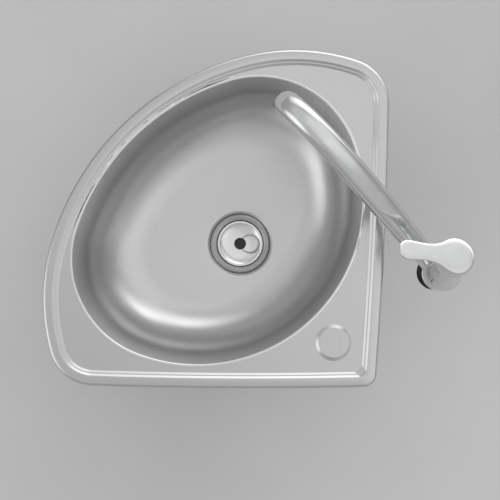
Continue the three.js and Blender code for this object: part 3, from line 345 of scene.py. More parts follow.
class Finish:
    """A material whose nodes are laid one after another."""

    def __init__(self, name, colour, roughness, metallic=0.0):
        self.material = bpy.data.materials.new(name)
        self.material.use_nodes = True
        self.tree = self.material.node_tree
        self.shader = self.tree.nodes["Principled BSDF"]
        self.set(self.shader, Metallic=metallic, Roughness=roughness)
        self.shader.inputs["Base Color"].default_value = (*colour, 1)
        self.place = self.tree.nodes.new("ShaderNodeTexCoord").outputs["Object"]
        self.bumped = None

    @staticmethod
    def set(node, **values):
        for socket, value in values.items():
            node.inputs[socket].default_value = value

    def node(self, kind, **settings):
        made = self.tree.nodes.new(kind)
        for setting, value in settings.items():
            setattr(made, setting, value)
        return made

    def link(self, start, end):
        self.tree.links.new(start, end)

    def stretched(self, scale, turned_by):
        """Object coordinates, scaled apart for each axis."""
        mapping = self.node("ShaderNodeMapping")
        self.link(self.place, mapping.inputs["Vector"])
        self.set(mapping, Scale=scale, Rotation=[math.radians(a) for a in turned_by])
        return mapping.outputs["Vector"]

    def noise(self, scale, detail=3.0, roughness=0.55, along=None):
        noise = self.node("ShaderNodeTexNoise")
        self.link(along or self.place, noise.inputs["Vector"])
        self.set(noise, Scale=scale, Detail=detail, Roughness=roughness)
        return noise.outputs["Fac"]

    def rays(self, count):
        """Fine streaks that run out from the waste's own axis."""
        fan = self.node("ShaderNodeTexGradient", gradient_type="RADIAL")
        self.link(self.place, fan.inputs["Vector"])
        streaks = self.node("ShaderNodeTexNoise", noise_dimensions="1D")
        self.link(fan.outputs["Fac"], streaks.inputs["W"])
        self.set(streaks, Scale=count, Detail=3.0, Roughness=0.6)
        return streaks.outputs["Fac"]

    def cells(self, scale, out="Distance"):
        cells = self.node("ShaderNodeTexVoronoi", feature="F1")
        self.link(self.place, cells.inputs["Vector"])
        self.set(cells, Scale=scale)
        return cells.outputs[out]

    def spread(self, fac, low, high):
        """A number that runs from low to high with a pattern."""
        reach = self.node("ShaderNodeMapRange")
        self.link(fac, reach.inputs["Value"])
        for socket, value in (("From Min", 0.25), ("From Max", 0.75),
                              ("To Min", low), ("To Max", high)):
            reach.inputs[socket].default_value = value
        return reach.outputs["Result"]

    def rough(self, fac, low, high):
        self.link(self.spread(fac, low, high), self.shader.inputs["Roughness"])
        return self

    def tint(self, fac, dark, light):
        ramp = self.node("ShaderNodeValToRGB")
        ramp.color_ramp.elements[0].color = (*dark, 1)
        ramp.color_ramp.elements[1].color = (*light, 1)
        ramp.color_ramp.elements[0].position = 0.3
        ramp.color_ramp.elements[1].position = 0.7
        self.link(fac, ramp.inputs["Fac"])
        self.link(ramp.outputs["Color"], self.shader.inputs["Base Color"])
        return self

    def bump(self, fac, height):
        """Adds relief of a height in millimetres."""
        bump = self.node("ShaderNodeBump")
        self.set(bump, Strength=1.0, Distance=height * 0.001)
        self.link(fac, bump.inputs["Height"])
        if self.bumped is not None:
            self.link(self.bumped, bump.inputs["Normal"])
        self.bumped = bump.outputs["Normal"]
        self.link(self.bumped, self.shader.inputs["Normal"])
        return self


def grey(level):
    """The colour of steel, with a trace of blue."""
    return (level, level, level + 0.005)


def brushed(name, colour, roughness, rough, tint):
    """Sheet steel with fine lines that run across it at 45 degrees."""
    made = Finish(name, colour, roughness, 1.0)
    lines = made.noise(1.0, 4, 0.6, made.stretched((2600, 60, 2600), (0, 0, 45)))
    made.rough(made.noise(9, 3), *rough)
    made.tint(lines, *tint)
    made.bump(lines, 0.0012).bump(made.noise(1800, 2), 0.002)
    return made.material


def mottled(name, colour, roughness, metallic, rough, tint, *reliefs):
    """A finish whose roughness, colour and relief each follow a noise of their own.

    rough is (scale, detail, lowest, highest), tint is (scale, detail, dark, light) and
    each relief is (scale, detail, height in millimetres).
    """
    made = Finish(name, colour, roughness, metallic)
    scale, detail, *ends = rough
    made.rough(made.noise(scale, detail), *ends)
    scale, detail, *ends = tint
    made.tint(made.noise(scale, detail), *ends)
    for scale, detail, height in reliefs:
        made.bump(made.noise(scale, detail), height)
    return made.material


def polished_steel():
    made = Finish("polished_steel", grey(0.78), 0.12, 1.0)
    rays = made.rays(110)
    made.rough(made.noise(60, 4), 0.16, 0.22)
    made.tint(rays, grey(0.74), grey(0.82))
    made.bump(made.noise(500, 2), 0.0015).bump(rays, 0.012)
    return made.material


def zinc_plate():
    made = Finish("zinc_plate", (0.55, 0.56, 0.57), 0.42, 1.0)
    made.rough(made.noise(150, 4), 0.34, 0.5)
    made.tint(made.cells(220, out="Color"), (0.46, 0.47, 0.49), (0.60, 0.60, 0.61))
    made.bump(made.noise(700, 3), 0.006)
    return made.material


def grey_foam():
    made = Finish("grey_foam", (0.05, 0.05, 0.052), 0.95)
    made.tint(made.noise(400, 4), (0.03, 0.03, 0.032), (0.07, 0.07, 0.072))
    made.rough(made.noise(700, 2), 0.88, 1.0)
    made.bump(made.cells(1100), 0.12).bump(made.noise(500, 3), 0.1)
    return made.material


SATIN = brushed("satin_steel", grey(0.65), 0.30, (0.275, 0.325), (grey(0.63), grey(0.67)))
DECK_STEEL = brushed("deck_steel", grey(0.62), 0.24, (0.21, 0.27), (grey(0.60), grey(0.645)))
# Lighter than the deck steel: a painted highlight for the rolled edge above the bowl; the low
# roughness is its polish.
POLISHED_EDGE_PAINTED_HIGHLIGHT = mottled("polished_edge_painted_highlight", grey(0.80), 0.13, 1.0, (40, 4, 0.10, 0.16),
                        (60, 3, grey(0.77), grey(0.82)), (700, 2, 0.0012))
POLISHED = polished_steel()
WIRE = mottled("ring_wire", grey(0.50), 0.14, 1.0, (150, 4, 0.11, 0.2),
               (300, 3, grey(0.45), grey(0.54)), (1400, 2, 0.0015))
WASTE_STEEL = mottled("brushed_waste_steel", grey(0.40), 0.28, 1.0, (80, 4, 0.25, 0.33),
                      (140, 3, grey(0.37), grey(0.43)), (1500, 2, 0.002))
CHROME_COLOUR = (0.72, 0.725, 0.73)
CHROME_TINT = (45, 4, (0.69, 0.695, 0.70), (0.74, 0.745, 0.75))
CHROME = mottled("chrome", CHROME_COLOUR, 0.06, 1.0, (35, 4, 0.04, 0.09), CHROME_TINT,
                 (260, 2, 0.0006))
WORN_CHROME = mottled("worn_chrome", CHROME_COLOUR, 0.15, 1.0, (35, 4, 0.12, 0.18),
                      CHROME_TINT, (1500, 3, 0.0015), (260, 2, 0.0006))
BRASS = mottled("brass", (0.62, 0.46, 0.19), 0.32, 1.0, (120, 4, 0.26, 0.42),
                (45, 4, (0.52, 0.37, 0.15), (0.68, 0.51, 0.23)), (900, 2, 0.004))
ZINC = zinc_plate()
RUBBER = mottled("black_rubber", (0.018, 0.018, 0.019), 0.75, 0.0, (300, 4, 0.62, 0.85),
                 (120, 4, (0.012, 0.012, 0.013), (0.028, 0.028, 0.028)), (1200, 3, 0.02))
FOAM = grey_foam()
WHITE = mottled("white_plastic", (0.78, 0.775, 0.74), 0.42, 0.0, (200, 4, 0.36, 0.5),
                (30, 3, (0.75, 0.745, 0.70), (0.80, 0.795, 0.76)), (1100, 3, 0.008))
BLACK = mottled("black_plastic", (0.012, 0.012, 0.013), 0.36, 0.0, (300, 4, 0.3, 0.45),
                (150, 3, (0.009, 0.009, 0.010), (0.018, 0.018, 0.019)), (1600, 3, 0.006))


# ---- outlines in the sink's plane ----
# p runs along the diagonal from the square corner, q across it.


def at(p, q, z):
    along = p - WASTE_FROM_CORNER
    return mm((q - along) * math.sqrt(0.5), (q + along) * math.sqrt(0.5), z)


class Arc:
    def __init__(self, radius, centre, start, end, steps):
        self.radius, self.centre, self.steps = radius, centre, steps
        self.start, self.end = start, end

    def spot(self, turn):
        return (self.centre[0] - self.radius * math.cos(turn),
                self.centre[1] + self.radius * math.sin(turn))


def half_outline(start, bends, closing_steps):
    """Arcs that follow each other smoothly from the diagonal back to the diagonal."""
    arcs, turn_so_far, end = [], 0.0, (start, 0.0)
    for radius, swing, steps in [*bends, (None, None, closing_steps)]:
        if radius is None:
            radius, reach = end[1] / math.sin(turn_so_far), math.pi
        else:
            reach = turn_so_far + math.radians(swing)
        centre = (end[0] + radius * math.cos(turn_so_far),
                  end[1] - radius * math.sin(turn_so_far))
        arc = Arc(radius, centre, turn_so_far, reach, steps)
        turn_so_far, end = reach, arc.spot(reach)
        arcs.append(arc)
    return arcs


SINK_OUTLINE = half_outline(2.5, [
    (20, 42.1, 14), (SIDE_BOW, math.degrees(SIDE_LENGTH / SIDE_BOW), 36), (66.6, 72.2, 26),
    (290, 32, 18)], 22)
BOWL_OUTLINE = half_outline(134, [(241, 64.3, 34), (146, 89, 38)], 24)


def moved_in(outline, inset):
    """The same arcs moved inwards; where the corner's arc would vanish, a small bend stays."""
    arcs = [Arc(a.radius - inset, a.centre, a.start, a.end, a.steps) for a in outline]
    corner, side = arcs[:2]
    least = 12
    if corner.radius < least:
        far = side.radius - least
        swing = math.asin(-side.centre[1] / far)
        corner.radius = least
        corner.centre = (side.centre[0] - far * math.cos(swing), 0)
        corner.end = side.start = swing
    return arcs


def outline_ring(outline, inset, z):
    half = []
    for arc in moved_in(outline, inset):
        for i in range(1 if half else 0, arc.steps + 1):
            half.append(arc.spot(arc.start + (arc.end - arc.start) * i / arc.steps))
    others = [(p, -q) for p, q in half[-2:0:-1]]
    return [at(p, q, z) for p, q in half + others]


# ---- the sink's sheet ----

EDGE_EASE = 0.4  # keeps the smooth outline inside the model's facets


def rim_line():
    """The rim's top from its outer edge to the deck, as (inset, height)."""
    lip = [(7 - (7 - EDGE_EASE) * math.cos(t), LIP_BOTTOM + 4.6 * math.sin(t))
           for t in [math.radians(a) for a in range(0, 90, 9)]]
    crown = eased([(7, 5.1), (11.5, 5.6, 25), (15.3, 5.6, 1.8), (18.6, 3.5, 1), (20.1, 3.4, 1),
                   (23.3, 1.5, 1.8), (25.6, 1.5)], 8)
    return lip + crown[1:]


def make_deck():
    rim = pulled("rim", [outline_ring(SINK_OUTLINE, o, z) for o, z in rim_line()])
    bead = DECK_TOP + 0.25
    middle = -(bead - ROLL - SEAM + 0.3) * math.tan(WALL_DRAFT) - ROLL / math.cos(WALL_DRAFT)
    bend = [(middle - 3.2, DECK_TOP), (middle - 1.9, DECK_TOP), (middle - 1.4, DECK_TOP + 0.05),
            (middle - 0.9, bead - 0.1), (middle - 0.4, bead - 0.02)]
    for i in range(15):
        t = (math.pi / 2 - WALL_DRAFT) * i / 14
        bend.append((middle + ROLL * math.sin(t), bead - ROLL + ROLL * math.cos(t)))
    bend.append((-0.3 * math.tan(WALL_DRAFT), SEAM))
    roll = pulled("roll", [outline_ring(BOWL_OUTLINE, o, z) for o, z in bend])
    from_corner = 85
    x, y = (size * 1000 for size in at(from_corner, 0, 0)[:2])
    stamp = eased([(28.2, 0), (26.6, 0, 2.2), (21.6, LANDING_HEIGHT, 2.2),
                   (17.5, LANDING_HEIGHT)], 8)
    landing = pulled("landing", [
        [mm(x + r * math.cos(a), y + r * math.sin(a), DECK_TOP + z) for a in even_turns(ROUND)]
        for r, z in stamp])
    pick_open_edges(landing, DECK_TOP + LANDING_HEIGHT)
    bpy.ops.mesh.edge_face_add()
    deck = joined("deck", rim, roll, landing)
    pick_open_edges(deck, DECK_TOP)
    bpy.ops.mesh.fill(use_beauty=True)
    sew(deck)
    facing(deck, at(120, 0, DECK_TOP), UP)
    sheet_of(deck, STEEL)
    ready(deck, "root", "sink_deck", DECK_STEEL)
    polish_and_highlight_mouth(deck)


def polish_and_highlight_mouth(deck):
    """The rolled edge above the bowl is ground and polished, and its colour is painted lighter than
    the deck as a highlight along the roll.
    """
    mouth = outline_ring(BOWL_OUTLINE, -ROLL, 0)
    near = KDTree(len(mouth))
    for i, spot in enumerate(mouth):
        near.insert(spot, i)
    near.balance()
    deck.data.materials.append(POLISHED_EDGE_PAINTED_HIGHLIGHT)
    widest, lowest = 0.005, -0.003
    for face in deck.data.polygons:
        spot = face.center.copy()
        spot.z = 0
        flat = abs(face.center.z - DECK_TOP * 0.001) < 1e-5
        if near.find(spot)[2] < widest and not flat and face.center.z > lowest:
            face.material_index = 1


def bowl_section(reach, drop=0.0):
    """(radius, height) points down one ray, from the seam to the outlet."""
    wall = Vector((-math.cos(WALL_DRAFT), math.sin(WALL_DRAFT)))
    bottom = Vector((-math.sin(BOTTOM_SLOPE), math.cos(BOTTOM_SLOPE)))
    radius = min(FOOT_RADIUS, reach - RECESS_RADIUS - 14) + drop
    top = DECK_TOP - 8.8
    wall_at = wall.x * reach + wall.y * top + radius
    bottom_at = bottom.x * RECESS_RADIUS + bottom.y * (FLOOR_TOP - drop) + radius
    cross = wall.x * bottom.y - wall.y * bottom.x
    centre = Vector(((wall_at * bottom.y - wall.y * bottom_at) / cross,
                     (wall.x * bottom_at - wall_at * bottom.x) / cross))
    first, last = math.atan2(-wall.y, -wall.x), math.atan2(-bottom.y, -bottom.x)
    foot = []
    for i in range(33):
        t = first + (last - first) * i / 32
        foot.append((centre.x + radius * math.cos(t), centre.y + radius * math.sin(t)))
    start = Vector((reach + (SEAM - 0.05 - top) * math.tan(WALL_DRAFT), SEAM - 0.05))
    line = [tuple(start.lerp(Vector(foot[0]), i / 8)) for i in range(8)] + foot
    edge = Vector((RECESS_RADIUS + 3.2 + drop, FLOOR_TOP - drop + 3.2 * math.tan(BOTTOM_SLOPE)))
    line += [tuple(Vector(foot[-1]).lerp(edge, i / 6)) for i in range(1, 6)]
    line += eased([tuple(edge), (RECESS_RADIUS + 0.9 + drop, FLOOR_TOP - drop, 1.6),
                   (48.1 + drop, SEAT_TOP + 1.2 - drop, 0.8), (47.6 + drop, SEAT_TOP - drop, 0.3),
                   (44, SEAT_TOP - drop)], 6)
    return line + [(41, SEAT_TOP - drop)]


def make_bowl():
    mouth = outline_ring(BOWL_OUTLINE, 0, 0)
    sections = [bowl_section(spot.length * 1000) for spot in mouth]
    rings = [[spot.normalized() * section[level][0] * 0.001 + UP * section[level][1] * 0.001
              for spot, section in zip(mouth, sections)] for level in range(len(sections[0]))]
    bowl = pulled("bowl", rings)
    facing(bowl, mm(60, 0, FLOOR_TOP), UP)
    sheet_of(bowl, STEEL)
    ready(bowl, "root", "sink_bowl", SATIN)


def height_at(section, radius):
    for (r1, z1), (r2, z2) in zip(section, section[1:]):
        if r2 <= radius <= r1:
            return z1 + (z2 - z1) * (r1 - radius) / max(r1 - r2, 1e-9)
    return section[-1][1]


def make_sound_pad():
    """A ring of foam sheet glued under the bowl."""
    mouth = outline_ring(BOWL_OUTLINE, -STEEL, 0)
    sections = [bowl_section(spot.length * 1000, STEEL) for spot in mouth]

    def pad_ring(radius, lower):
        return [spot.normalized() * radius * 0.001
                + UP * (height_at(section, radius) - lower) * 0.001
                for spot, section in zip(mouth, sections)]

    radii = [96 - 36 * i / 10 for i in range(11)]
    rings = [pad_ring(r, 0.1) for r in radii]
    rings += [pad_ring(59.6, 0.9), pad_ring(59.6, 2.4), pad_ring(60.4, 3)]
    rings += [pad_ring(r, 3.2) for r in radii[-2::-1][:-1]]
    rings += [pad_ring(95.2, 3), pad_ring(96, 2.4), rings[0]]
    ready(pulled("pad", rings), "root", "sound_pad", FOAM)


def make_rim_seal():
    top = [(3.2, 3.0), (4, 3.45), (6, 4.0), (9, 4.3), (12.6, 4.4), (13, 4.1)]
    bottom = [(13, 0.4), (12.6, 0), (3.4, 0), (3, 0.4)]
    rings = [outline_ring(SINK_OUTLINE, o, z) for o, z in top + bottom + top[:1]]
    ready(pulled("seal_strip", rings), "root", "rim_seal", FOAM)


# ---- the clamps under the deck ----


def clamp_places():
    """Each clamp stands about its own screw's axis and heads out to the edge beside it."""
    side, end = SINK_OUTLINE[1], SINK_OUTLINE[2]
    along_side, share_of_end = 72, 0.45
    swings = (side.start + (side.end - side.start) * along_side / SIDE_LENGTH,
              end.start + (end.end - end.start) * share_of_end)
    for i in range(4):
        box = [Vector(corner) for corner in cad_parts[f"clamp{i + 1}_screw"].bound_box]
        axis = sum(box, Vector()) / 8
        swing, half = swings[i // 2], 1 - 2 * (i % 2)
        out = at(-math.cos(swing), half * math.sin(swing), 0) - at(0, 0, 0)
        yield Vector((axis.x, axis.y, 0)), math.atan2(out.y, out.x)


def bent_strip(name, line, width, thickness):
    """Sheet metal that follows a line of (x, z) corners, seen from its side."""
    rings = []
    path = eased(line, 5)
    for i, (x, z) in enumerate(path):
        back = Vector(path[max(i - 1, 0)])
        ahead = Vector(path[min(i + 1, len(path) - 1)])
        along = (ahead - back).normalized()
        side = Vector((-along.y, along.x)) * thickness / 2
        rings.append([mm(x + s * side.x, y * width / 2, z + s * side.y)
                      for s, y in ((1, -1), (1, 1), (-1, 1), (-1, -1))])
    return softened(capped(pulled(name, rings)), 0.25, 2, 50)


def drilled(piece, radius, low, high):
    return cut(piece, rod("drill", radius, low, high, 32))


def make_clamp_parts():
    """One clamp at the origin, reaching towards +X."""
    plate_top = DECK_TOP - STEEL - 0.3
    bracket = bent_strip("clamp_bracket", [
        (7.6, plate_top - 0.6), (-10.8, plate_top - 0.6, 2), (-10.8, -19.9, 2.2), (4.7, -19.9)],
        14, 1.2)
    drilled(bracket, 2.3, -24, -16)
    collar = turned("bracket_collar", eased(
        [(2.3, -19.6), (4.4, -19.6), (4.4, -18.2, 0.4), (2.3, -18.2)], 3), 32)
    fused(bracket, collar)
    top = -WORKTOP
    claw = bent_strip("clamp_claw", [
        (-5.2, top - 4), (1.5, top - 4, 3), (7, top - 2.2, 6), (24, top - 2.2, 3),
        (27.6, top - 3.1, 1.4), (29.6, top - 1.2)], 11, 2)
    hub = turned("claw_hub", eased([(0, top - 4.9), (5.4, top - 4.9, 0.5),
                                    (5.4, top - 1.2, 0.8), (0, top - 1.2)], 3), 48)
    fused(claw, hub)
    for y in (-3.4, 0, 3.4):
        cut(claw, placed(block("notch", (0, 0, 0), (2.2, 1.5, 3)), shift(30, y, top - 1)))
    drilled(claw, 2.3, top - 8, top + 3)
    head = top - 5.3
    thread = thread_line(head, -15, 0.8, [(1.62, 0.1), (1.98, 0.4), (1.98, 0.5), (1.62, 0.8)])
    screw = turned("clamp_screw", eased([(0, head - 3), (3.9, head - 3, 0.7), (4.4, head, 0.3)], 3)
                   + thread + [(1.5, -13.2), (0, -13)], 32)
    cut(screw, block("slot", (0, 0, head - 2.8), (12, 1.2, 2.4)))
    return bracket, claw, screw


def make_clamps():
    parts = make_clamp_parts()
    for i, (spot, heading) in enumerate(clamp_places(), 1):
        place = Matrix.Translation(spot) @ Matrix.Rotation(heading, 4, "Z")
        for part, kind in zip(parts, ("bracket", "claw", "screw")):
            node = f"clamp{i}_{kind}"
            body = node if kind == "claw" else "root"
            made = placed(copied(part, f"clamp_{kind}_{i}"), place)
            ready(made, body, node, ZINC)
    for part in parts:
        bpy.data.objects.remove(part)


# ---- the waste ----


def make_waste():
    under = FLANGE_TOP - 1.6
    cup_floor = FLANGE_TOP - 24.8
    cone_foot = cup_floor - 6
    throat = cone_foot - 5.5
    thread_end = throat - 26
    thread = thread_line(throat - 7, thread_end + 3, -1.9,
                         [(20.9, 0), (20.9, -0.5), (20.2, -1.0), (20.2, -1.4)])
    body = turned("waste_cup", eased([
        (47.5, under), (47.5, under + 0.4, 0.2), (44.8, FLANGE_TOP, 2), (42.8, FLANGE_TOP, 3),
        (38, FLANGE_TOP - 1.6, 0.5), (37.7, FLANGE_TOP - 2.6, 0.3), (37.7, cup_floor, 1.5),
        (26, cone_foot, 1.5), (18.5, throat, 1.5), (18.5, thread_end)], 5)
        + [(20.2, thread_end)] + thread[::-1]
        + eased([(20.9, throat - 4, 0.6), (27.5, cone_foot - 3, 1), (39.3, cup_floor - 2.5, 2),
                 (39.3, under)], 5))
    ready(body, "root", "waste_body", WASTE_STEEL)
    gasket = washer("flange_washer", 42.5, 47, SEAT_TOP + 0.02, under - 0.02, 0.2)
    ready(gasket, "root", "flange_gasket", RUBBER)
    low = SEAT_TOP - STEEL
    lower = washer("lower_washer", 39.6, 49, low - 2.3, low - 0.05, 0.5, 4)
    ready(lower, "root", "lower_gasket", RUBBER)
    slip = washer("slip_ring", 39.6, 49, low - 3.35, low - 2.55, 0.25)
    ready(slip, "root", "friction_washer", ZINC)
    make_locknut(low - 3.6)
    make_tail(thread_end)


def make_locknut(top):
    low = top - 8
    nut = turned("waste_nut", eased([
        (39.6, low), (48.6, low, 0.8), (50, top - 3, 1.2), (50, top, 0.6), (39.6, top)], 4))
    fused(nut, *fanned(8, lambda: softened(
        block("lug", (51.4, 0, low + 3.5), (4.4, 6, 7)), 0.9)))
    ready(nut, "root", "locknut", WHITE)


def make_tail(thread_end):
    top = thread_end - 0.1
    cone = washer("cone_washer", 17.5, 20.3, top - 1.7, top, 0.4)
    ready(cone, "root", "tail_washer", RUBBER)
    flange = thread_end - 2.1
    tail = turned("tail_pipe", eased([
        (14.5, flange), (20.3, flange, 0.5), (20.3, flange - 1.9, 0.5), (16, flange - 1.9, 1),
        (16, flange - 37), (15.4, flange - 38), (14.5, flange - 38)], 4))
    ready(tail, "root", "tailpiece", WHITE)
    shoulder = flange - 2.2
    nut = turned("pipe_nut", eased([
        (16.3, shoulder - 3), (23.6, shoulder - 3, 1), (24.9, shoulder + 0.5, 0.8),
        (24.9, thread_end + 16, 0.8), (21.2, thread_end + 16, 0.4), (21.2, shoulder),
        (16.3, shoulder)], 4))
    fused(nut, *fanned(12, lambda: softened(
        block("rib", (24.9, 0, shoulder + 5), (2.8, 2.6, 14)), 0.7)))
    ready(nut, "root", "coupling_nut", WHITE)


# ---- the basket plug ----


def dish_height(radius):
    """A dish that rises steeply to a flat lip."""
    if radius > 33.5:
        return DISH_TOP + 0.3 - 0.05 * (radius - 34.6) ** 2
    return DISH_TOP + 0.24 - 4.9 * (1 - (radius / 33.5) ** 4.2)


def make_basket():
    rim = [(9.6 + 26.2 * i / 44, dish_height(9.6 + 26.2 * i / 44)) for i in range(45)]
    floor = DISH_TOP - 24.7
    outline = rim + eased([
        (36.3, DISH_TOP + 0.1, 0.2), (36.6, DISH_TOP - 0.3, 0.2), (36.2, DISH_TOP - 1, 0.3),
        (33, dish_height(33) - 1.4, 1), (33, floor, 2.4), (4.3, floor), (4.3, floor + 1),
        (32, floor + 1, 1.6), (32, dish_height(32) - 1.7, 0.8),
        (22, dish_height(22) - 1.1), (9.6, dish_height(9.6) - 1)], 5)
    basket = turned("strainer", outline)
    top = dish_height(33) - 4.5
    for i in range(8):
        slot = softened(block("slot", (33, 0, (floor + 4 + top) / 2), (8, 3.2, top - floor - 4)),
                        1.5, 4)
        cut(basket, placed(slot, turn(45 * i, "Z")))
    drill = rod("drill", 1.6, floor - 2, floor + 3, 16)
    for i in range(12):
        cut(basket, placed(copied(drill, "hole"), turn(30 * i, "Z"), shift(29.5, 0, 0)))
    bpy.data.objects.remove(drill)
    ready(basket, "basket", "basket", POLISHED)
    low = floor - 3.4
    stopper = turned("stopper", eased([
        (4.3, low), (26.3, low, 0.7), (27.5, low + 1.1, 0.5), (27.5, low + 3.1, 0.6),
        (4.3, low + 3.1)], 4))
    ready(stopper, "basket", "stopper_seal", RUBBER)
    make_knob(low - 0.3)
    make_pull_ring()


def make_knob(foot):
    low = dish_height(9.3) - 2.2
    knob = turned("plug_knob", eased([
        (0, KNOB_TOP - 0.8), (5.6, KNOB_TOP - 0.7, 1.5), (7.4, KNOB_TOP, 0.8),
        (9.3, KNOB_TOP - 0.3, 0.9), (9.3, low, 0.6), (4, low - 1, 0.5), (4, foot),
        (6.5, foot), (6.5, foot - 2, 0.5), (0, foot - 2)], 5), 64)
    put_down()
    bpy.ops.mesh.primitive_cylinder_add(
        vertices=24, radius=0.0013, depth=0.03, rotation=(math.pi / 2, 0, 0),
        location=mm(4.5, 0, KNOB_TOP - 2.4))
    cut(knob, taken("bore"))
    ready(knob, "basket", "knob", BLACK)


def wire_loop(name, path, radius, sides):
    """A round bar along a closed flat path."""
    rings = []
    for i, spot in enumerate(path):
        side = (path[(i + 1) % len(path)] - path[i - 1]).normalized().cross(UP)
        rings.append([spot + (side * math.cos(a) + UP * math.sin(a)) * radius * 0.001
                      for a in even_turns(sides)])
    return pulled(name, rings + rings[:1])


def make_pull_ring():
    """Bent wire: a straight bar through the knob and a round loop outside it."""
    reach, radius, pivot = 29.6, 14, 4.5
    middle = reach - radius - pivot
    loop = [(middle + radius * math.cos(math.radians(a)), radius * math.sin(math.radians(a)))
            for a in range(124, -1, -4)]
    path = [(0, 9.2 * i / 6) for i in range(7)]
    bend_from, bend_to = Vector((0, 9.2)), Vector(loop[0])
    pull = Vector((0, 11.2))
    for i in range(1, 6):
        s = i / 6
        path.append(tuple(bend_from * (1 - s) ** 2 + pull * 2 * s * (1 - s) + bend_to * s * s))
    path += loop
    path += [(x, -y) for x, y in path[-2:0:-1]]
    wire = wire_loop("lifting_ring", [mm(x, y, 0) for x, y in path], 1.15, 14)
    placed(wire, shift(pivot, 0, KNOB_TOP - 2.4), turn(-5, "Y"))
    ready(wire, "pull_ring", "pull_ring", WIRE, 60)


# ---- the mixer ----

TAP = shift(*TAP_SPOT, 0)
HEAD = TAP @ shift(0, 0, HEAD_FOOT) @ turn(-LEAN, "X")
LEVER_HEADING, SPOUT_HEADING = 177, 136.5  # degrees from +X at rest
LEVER = HEAD @ turn(LEVER_HEADING, "Z")
SPOUT = TAP @ turn(SPOUT_HEADING, "Z")


def leaning_ring(radius, along, height, lean):
    """A circle about an axis that leans towards +Y."""
    return [mm(radius * math.cos(a), along + radius * math.sin(a) * math.cos(lean),
               height - radius * math.sin(a) * math.sin(lean))
            for a in even_turns(ROUND)]


def head_ring(radius, height):
    """A circle in the leaning head, at a height along the head's own axis."""
    lean = math.radians(LEAN)
    return leaning_ring(radius, height * math.sin(lean), HEAD_FOOT + height * math.cos(lean), lean)


def make_tap_body():
    low = 37.9
    foot = eased([(0, 11.3), (14.3, 11.3), (14.3, 1.5), (25.6, 1.5, 0.3), (26, 3, 0.5),
                  (26, 7.5, 1.8), (CORE_RADIUS, 7.5, 0.3), (CORE_RADIUS, low),
                  (25.2, low), (25.5, low + 0.4)], 5)
    rings = [leaning_ring(r, 0, z, 0) for r, z in foot]
    steps, neck, lean = 24, 18, math.radians(LEAN)
    neck_top = HEAD_FOOT + neck * math.cos(lean)
    for i in range(1, steps + 1):
        share = i / steps
        rings.append(leaning_ring(
            25.5 - 2.9 * blend(share), neck * share * share * math.sin(lean),
            low + 0.4 + (neck_top - low - 0.4) * share, lean * share))
    rings += [head_ring(r, h) for r, h in eased([
        (22.6, 30), (22.6, 57.5, 0.5), (20.3, 57.5, 0.3), (20.3, 45.5), (18.1, 45.5),
        (18.1, 20), (0, 20)], 4)]
    body = placed(pulled("mixer_body", rings), TAP)
    ready(body, "root", "tap_body", CHROME)


def make_tap_seals():
    for name, node, slot, finish, inner, outer, low, high in (
            ("foot_seal", "base_seal", "rubber", RUBBER, 17, 25.3, 0, 1.45),
            ("swivel_ring", "swivel_bush", "white_plastic", WHITE, 19.3, 25.1, 7.6, 9.5),
            ("low_spout_seal", "spout_seal_lower", "rubber", RUBBER, 19.3, 21.7, 11.6, 14.6),
            ("high_spout_seal", "spout_seal_upper", "rubber", RUBBER, 19.3, 21.7, 32.6, 35.6)):
        seal = washer(name, inner, outer, low, high, 0.3)
        ready(placed(seal, TAP), "root", node, finish)


SPOUT_LINE = [(12, 20), (24, 24.5), (40, 34), (90, 68), (150, 107), (210, 140),
              (262, 157), (298, 154), (317, 141), (322, 124)]


def smooth_line(points, steps):
    """Even steps along a smooth curve through flat points."""
    spots = [Vector(p) for p in points]
    spots = [spots[0] * 2 - spots[1], *spots, spots[-1] * 2 - spots[-2]]
    dense = []
    for a, b, c, d in zip(spots, spots[1:], spots[2:], spots[3:]):
        t1 = math.sqrt((b - a).length)
        t2 = t1 + math.sqrt((c - b).length)
        t3 = t2 + math.sqrt((d - c).length)
        for i in range(40):
            t = t1 + (t2 - t1) * i / 40
            ab, bc = a.lerp(b, t / t1), b.lerp(c, (t - t1) / (t2 - t1))
            cd = c.lerp(d, (t - t2) / (t3 - t2))
            abc, bcd = ab.lerp(bc, t / t2), bc.lerp(cd, (t - t1) / (t3 - t1))
            dense.append(abc.lerp(bcd, (t - t1) / (t2 - t1)))
    dense.append(spots[-2])
    walked = [0.0]
    for a, b in zip(dense, dense[1:]):
        walked.append(walked[-1] + (b - a).length)
    line, k = [], 0
    for i in range(steps + 1):
        goal = walked[-1] * i / steps
        while k < len(walked) - 2 and walked[k + 1] < goal:
            k += 1
        share = (goal - walked[k]) / max(walked[k + 1] - walked[k], 1e-9)
        line.append((dense[k].lerp(dense[k + 1], share), (dense[k + 1] - dense[k]).normalized()))
    return line


def spout_size(share):
    """Half width, and the heights above and below the line, along the spout."""
    root, middle, tip = (15.5, 11.5, 11.5), (17.8, 12, 12), (17, 12.8, 13)
    start, end, part = (root, middle, share / 0.4) if share < 0.4 else (
        middle, tip, (share - 0.4) / 0.6)
    wide, above, below = [a + (b - a) * blend(part) for a, b in zip(start, end)]
    return wide, above + 3.4 * blend((share - 0.88) / 0.12), below


def flat_oval(turn):
    """A point on an oval that is flatter than an ellipse."""
    power = 2.5
    c, s = math.cos(turn), math.sin(turn)
    return (math.copysign(abs(c) ** (2 / power), c), math.copysign(abs(s) ** (2 / power), s))


